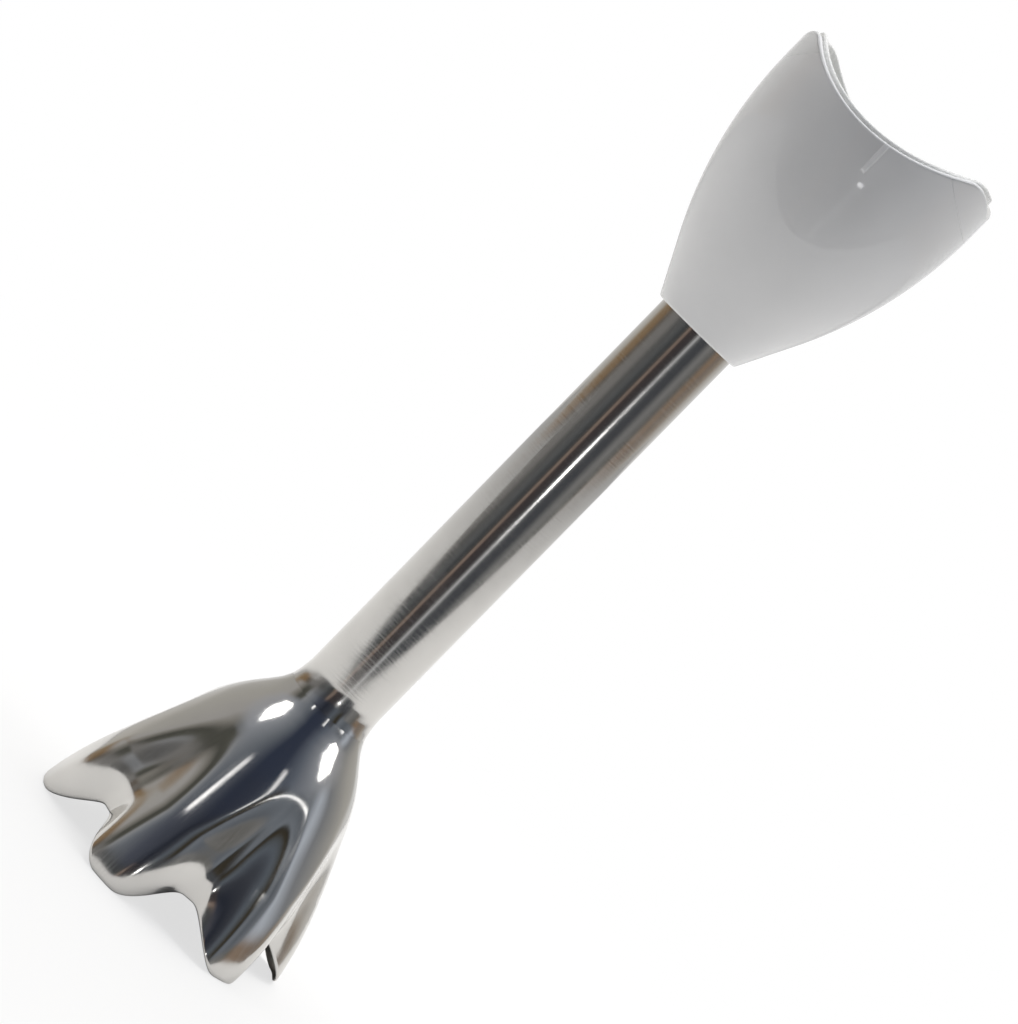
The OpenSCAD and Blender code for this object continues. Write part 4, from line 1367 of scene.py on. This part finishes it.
@dataclass
class Studio:
    """The camera, the pale floor, the soft lights and what the steel sees around it."""

    azimuth: float = 9.83
    elevation: float = 6.05
    roll: float = 44.39
    distance: float = 0.6675
    lens: float = 113.3
    aim: Point = (-1.56, 0.0, 107.4)
    table_front: float = 0.33
    table_far: float = 1.6
    shade_lift: float = 0.7
    # what stands round the object, by degrees to the right of the camera: (where, colour)
    level_round: tuple[tuple[float, Colour], ...] = (
        (-180, (0.95, 0.95, 0.95)), (-150, (0.62, 0.61, 0.59)), (-128, (0.52, 0.50, 0.46)),
        (-114, (0.30, 0.22, 0.14)), (-98, (0.25, 0.17, 0.10)), (-88, (0.15, 0.13, 0.11)),
        (-76, (0.22, 0.215, 0.21)), (-62, (0.22, 0.215, 0.21)), (-50, (0.12, 0.12, 0.12)),
        (-37, (0.115, 0.12, 0.125)), (-26, (0.06, 0.065, 0.07)), (-20, (0.09, 0.085, 0.08)),
        (-16, (0.32, 0.24, 0.20)), (-10, (0.06, 0.05, 0.05)), (4, (0.055, 0.05, 0.055)),
        (9, (0.20, 0.20, 0.20)), (13, (0.52, 0.53, 0.55)), (18, (0.16, 0.165, 0.17)),
        (24, (0.075, 0.08, 0.09)), (38, (0.07, 0.075, 0.085)), (54, (0.24, 0.24, 0.24)),
        (70, (0.15, 0.15, 0.145)), (84, (0.28, 0.20, 0.14)), (98, (0.24, 0.20, 0.17)),
        (112, (0.34, 0.29, 0.24)), (127, (0.58, 0.56, 0.53)),
        (152, (0.74, 0.74, 0.73)), (180, (0.95, 0.95, 0.95)),
    )  # fmt: skip
    upper_round: tuple[tuple[float, Colour], ...] = (
        (-180, (0.60, 0.59, 0.57)), (-130, (0.46, 0.45, 0.42)), (-98, (0.42, 0.41, 0.40)),
        (-86, (0.26, 0.25, 0.23)), (-74, (0.08, 0.08, 0.07)), (-65, (0.10, 0.10, 0.085)),
        (-57, (0.32, 0.33, 0.35)), (-44, (0.22, 0.24, 0.27)), (-28, (0.08, 0.09, 0.12)),
        (-8, (0.025, 0.03, 0.045)), (8, (0.05, 0.055, 0.07)), (20, (0.12, 0.14, 0.17)),
        (28, (0.09, 0.10, 0.11)), (34, (0.05, 0.042, 0.028)), (39, (0.04, 0.036, 0.03)),
        (44, (0.20, 0.225, 0.26)), (60, (0.13, 0.145, 0.17)), (78, (0.20, 0.22, 0.25)),
        (90, (0.55, 0.60, 0.68)),
        (104, (0.24, 0.25, 0.27)), (135, (0.46, 0.45, 0.42)), (180, (0.60, 0.59, 0.57)),
    )  # fmt: skip
    high_round: tuple[tuple[float, Colour], ...] = (
        (-180, (0.60, 0.60, 0.60)), (-125, (0.46, 0.46, 0.47)), (-70, (0.34, 0.36, 0.40)),
        (-40, (0.18, 0.20, 0.23)), (-12, (0.035, 0.045, 0.075)), (14, (0.04, 0.05, 0.08)),
        (38, (0.13, 0.15, 0.19)), (70, (0.30, 0.32, 0.36)), (125, (0.46, 0.46, 0.47)),
        (180, (0.60, 0.60, 0.60)),
    )  # fmt: skip

    def camera(self) -> None:
        """Sets the camera at its angle, rolled so that the foot lies across the view."""
        az, el, roll = (math.radians(v) for v in (self.azimuth, self.elevation, self.roll))
        back = Vector((math.sin(az) * math.cos(el), -math.cos(az) * math.cos(el), math.sin(el)))
        level = Vector((math.cos(az), math.sin(az), 0.0))
        upright = back.cross(level)
        right = level * math.cos(roll) + upright * math.sin(roll)
        up = upright * math.cos(roll) - level * math.sin(roll)
        place = Vector((0, 0, self.aim[2])) * MM + level * self.aim[0] * MM + back * self.distance
        data = bpy.data.cameras.new("camera")
        data.lens, data.sensor_width, data.clip_start = self.lens, 36.0, 0.01
        camera = bpy.data.objects.new("camera", data)
        camera.matrix_world = Matrix(
            [[right[i], up[i], back[i], place[i]] for i in range(3)] + [[0, 0, 0, 1]]
        )
        bpy.context.scene.collection.objects.link(camera)
        bpy.context.scene.camera = camera

    def ramp(self, bench: Bench, turn: Any, stops: Sequence[tuple[float, Colour]]) -> Any:
        """Colours laid out round the compass.

        Args:
            bench: The world's bench.
            turn: Share of the whole turn, a half being towards the camera.
            stops: Degrees to the right of the camera, and the colour there.

        Returns:
            The colour's socket.
        """
        node = bench.add("ShaderNodeValToRGB", {0: turn})
        elements = node.color_ramp.elements
        elements.remove(elements[1])
        for i, (degrees, colour) in enumerate(stops):
            place = (degrees + 180) / 360
            stop = elements[0] if i == 0 else elements.new(place)
            stop.position, stop.color = place, (*colour, 1)
        return node.outputs[0]

    def surroundings(self) -> None:
        """Lays out the room that the steel mirrors; straight on, the backdrop is white."""
        world = bpy.data.worlds.new("studio")
        world.use_nodes = True
        bpy.context.scene.world = world
        bench = Bench(world.node_tree)
        ground = world.node_tree.nodes["Background"]
        where = bench.add("ShaderNodeTexCoord").outputs["Generated"]
        turned = {"Vector": where, "Angle": -math.radians(self.azimuth)}
        faced = bench.add("ShaderNodeVectorRotate", turned, rotation_type="Z_AXIS").outputs[0]
        x, y, z = bench.apart(faced)
        compass = bench.sum("ARCTAN2", x, bench.sum("MULTIPLY", y, -1.0))
        turn = bench.sum("MULTIPLY_ADD", compass, 1 / TAU, 0.5)
        mixed = self.ramp(bench, turn, self.level_round)
        for stops, low, top in ((self.upper_round, 0.06, 0.16), (self.high_round, 0.50, 0.66)):
            mixed = bench.blend(bench.eased(z, low, top), mixed, self.ramp(bench, turn, stops))
        bench.feed(ground.inputs[0], mixed)
        white = bench.add("ShaderNodeBackground", {0: (1, 1, 1, 1), 1: 1.0})
        seen = bench.add("ShaderNodeLightPath").outputs["Is Camera Ray"]
        both = bench.add("ShaderNodeMixShader", {0: seen, 1: ground.outputs[0], 2: white.outputs[0]})
        bench.feed(world.node_tree.nodes["World Output"].inputs[0], both.outputs[0])

    def floor(self) -> None:
        """Lays a pale table top whose straight front edge is square to the camera."""
        front, far = -self.table_front, self.table_far
        az = math.radians(self.azimuth)
        corners = [(-far, front), (far, front), (far, far), (-far, far)]
        mesh = bpy.data.meshes.new("floor")
        c, s = math.cos(az), math.sin(az)
        spots = [(x * c - y * s, x * s + y * c, 0.0) for x, y in corners]
        mesh.from_pydata(spots, [], [(0, 1, 2, 3)])
        floor = bpy.data.objects.new("floor", mesh)
        bpy.context.scene.collection.objects.link(floor)
        material, bench = blank("pale floor")
        tone = bench.blend(grain(bench, 5.0, 2.0), (0.86, 0.85, 0.83), (0.84, 0.83, 0.81))
        shade(bench, Base_Color=tone, Roughness=0.6, Specular_IOR_Level=0.2)
        nodes = bench.tree.nodes
        # seen straight on, the shade on the table is lifted to a soft pale grey
        seen = bench.add("ShaderNodeLightPath").outputs["Is Camera Ray"]
        lift = bench.add("ShaderNodeEmission", {0: (1, 1, 1, 1), 1: 1.0}).outputs[0]
        away = bench.add("ShaderNodeVectorMath", {0: bench.place()}, operation="LENGTH").outputs["Value"]
        share = bench.sum("MULTIPLY", seen, bench.eased(away, 0.12, 0.42, self.shade_lift, 1.0))
        both = bench.add("ShaderNodeMixShader", {0: share, 1: nodes["Principled BSDF"].outputs[0], 2: lift})
        bench.feed(nodes["Material Output"].inputs[0], both.outputs[0])
        floor.data.materials.append(material)

    def light(
        self, name: str, turn: float, rise: float, away: float, size: Spot, power: float,
        mirrored: bool = True,
    ) -> None:
        """Hangs one soft rectangular light that faces the object.

        Args:
            name: What it is called.
            turn: Degrees to the right of the camera.
            rise: Degrees over the level.
            away: Distance from the object, in metres.
            size: Its width and height, in metres.
            power: Its power in watts.
            mirrored: Whether the steel shows it.
        """
        az, el = math.radians(turn + self.azimuth), math.radians(rise)
        way = Vector((math.sin(az) * math.cos(el), -math.cos(az) * math.cos(el), math.sin(el)))
        data = bpy.data.lights.new(name, "AREA")
        data.shape, data.size, data.size_y, data.energy = "RECTANGLE", *size, power
        lamp = bpy.data.objects.new(name, data)
        place = Vector((0, 0, 0.06)) + way * away
        lamp.matrix_world = Matrix.Translation(place) @ way.to_track_quat("Z", "Y").to_matrix().to_4x4()
        lamp.visible_glossy = mirrored
        bpy.context.scene.collection.objects.link(lamp)

    def build(self) -> None:
        """Sets up everything round the object."""
        self.camera()
        self.surroundings()
        self.floor()
        self.light("overhead box", 170, 72, 1.3, (1.2, 0.9), 17.0, mirrored=False)
        self.light("left window", -84, 53, 1.0, (0.26, 0.26), 0.95)
        self.light("right window", 87, 50, 1.0, (0.26, 0.27), 0.95)
        self.light("left tall lamp", -27, 33, 1.0, (0.05, 0.16), 0.05)
        self.light("right tall lamp", 22, 36, 1.0, (0.07, 0.30), 0.07)
        self.light("long strip", 55, 28, 1.0, (0.62, 0.05), 0.16)
        self.light("low gleam", 13, -1.1, 1.0, (0.09, 0.024), 0.05)
        bpy.context.scene.view_settings.view_transform = "Standard"


def main() -> None:
    """Builds every sub-assembly in order."""
    logging.basicConfig(level=logging.INFO, format="%(name)s: %(message)s")
    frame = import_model()
    Studio().build()
    wardrobe = Wardrobe()
    Bell().build(wardrobe)
    TubeAndShaft().build(wardrobe)
    Blade().build(wardrobe)
    Collar().build(wardrobe)
    InnerParts().build(wardrobe, frame["nodes"])


if __name__ == "__main__":
    main()
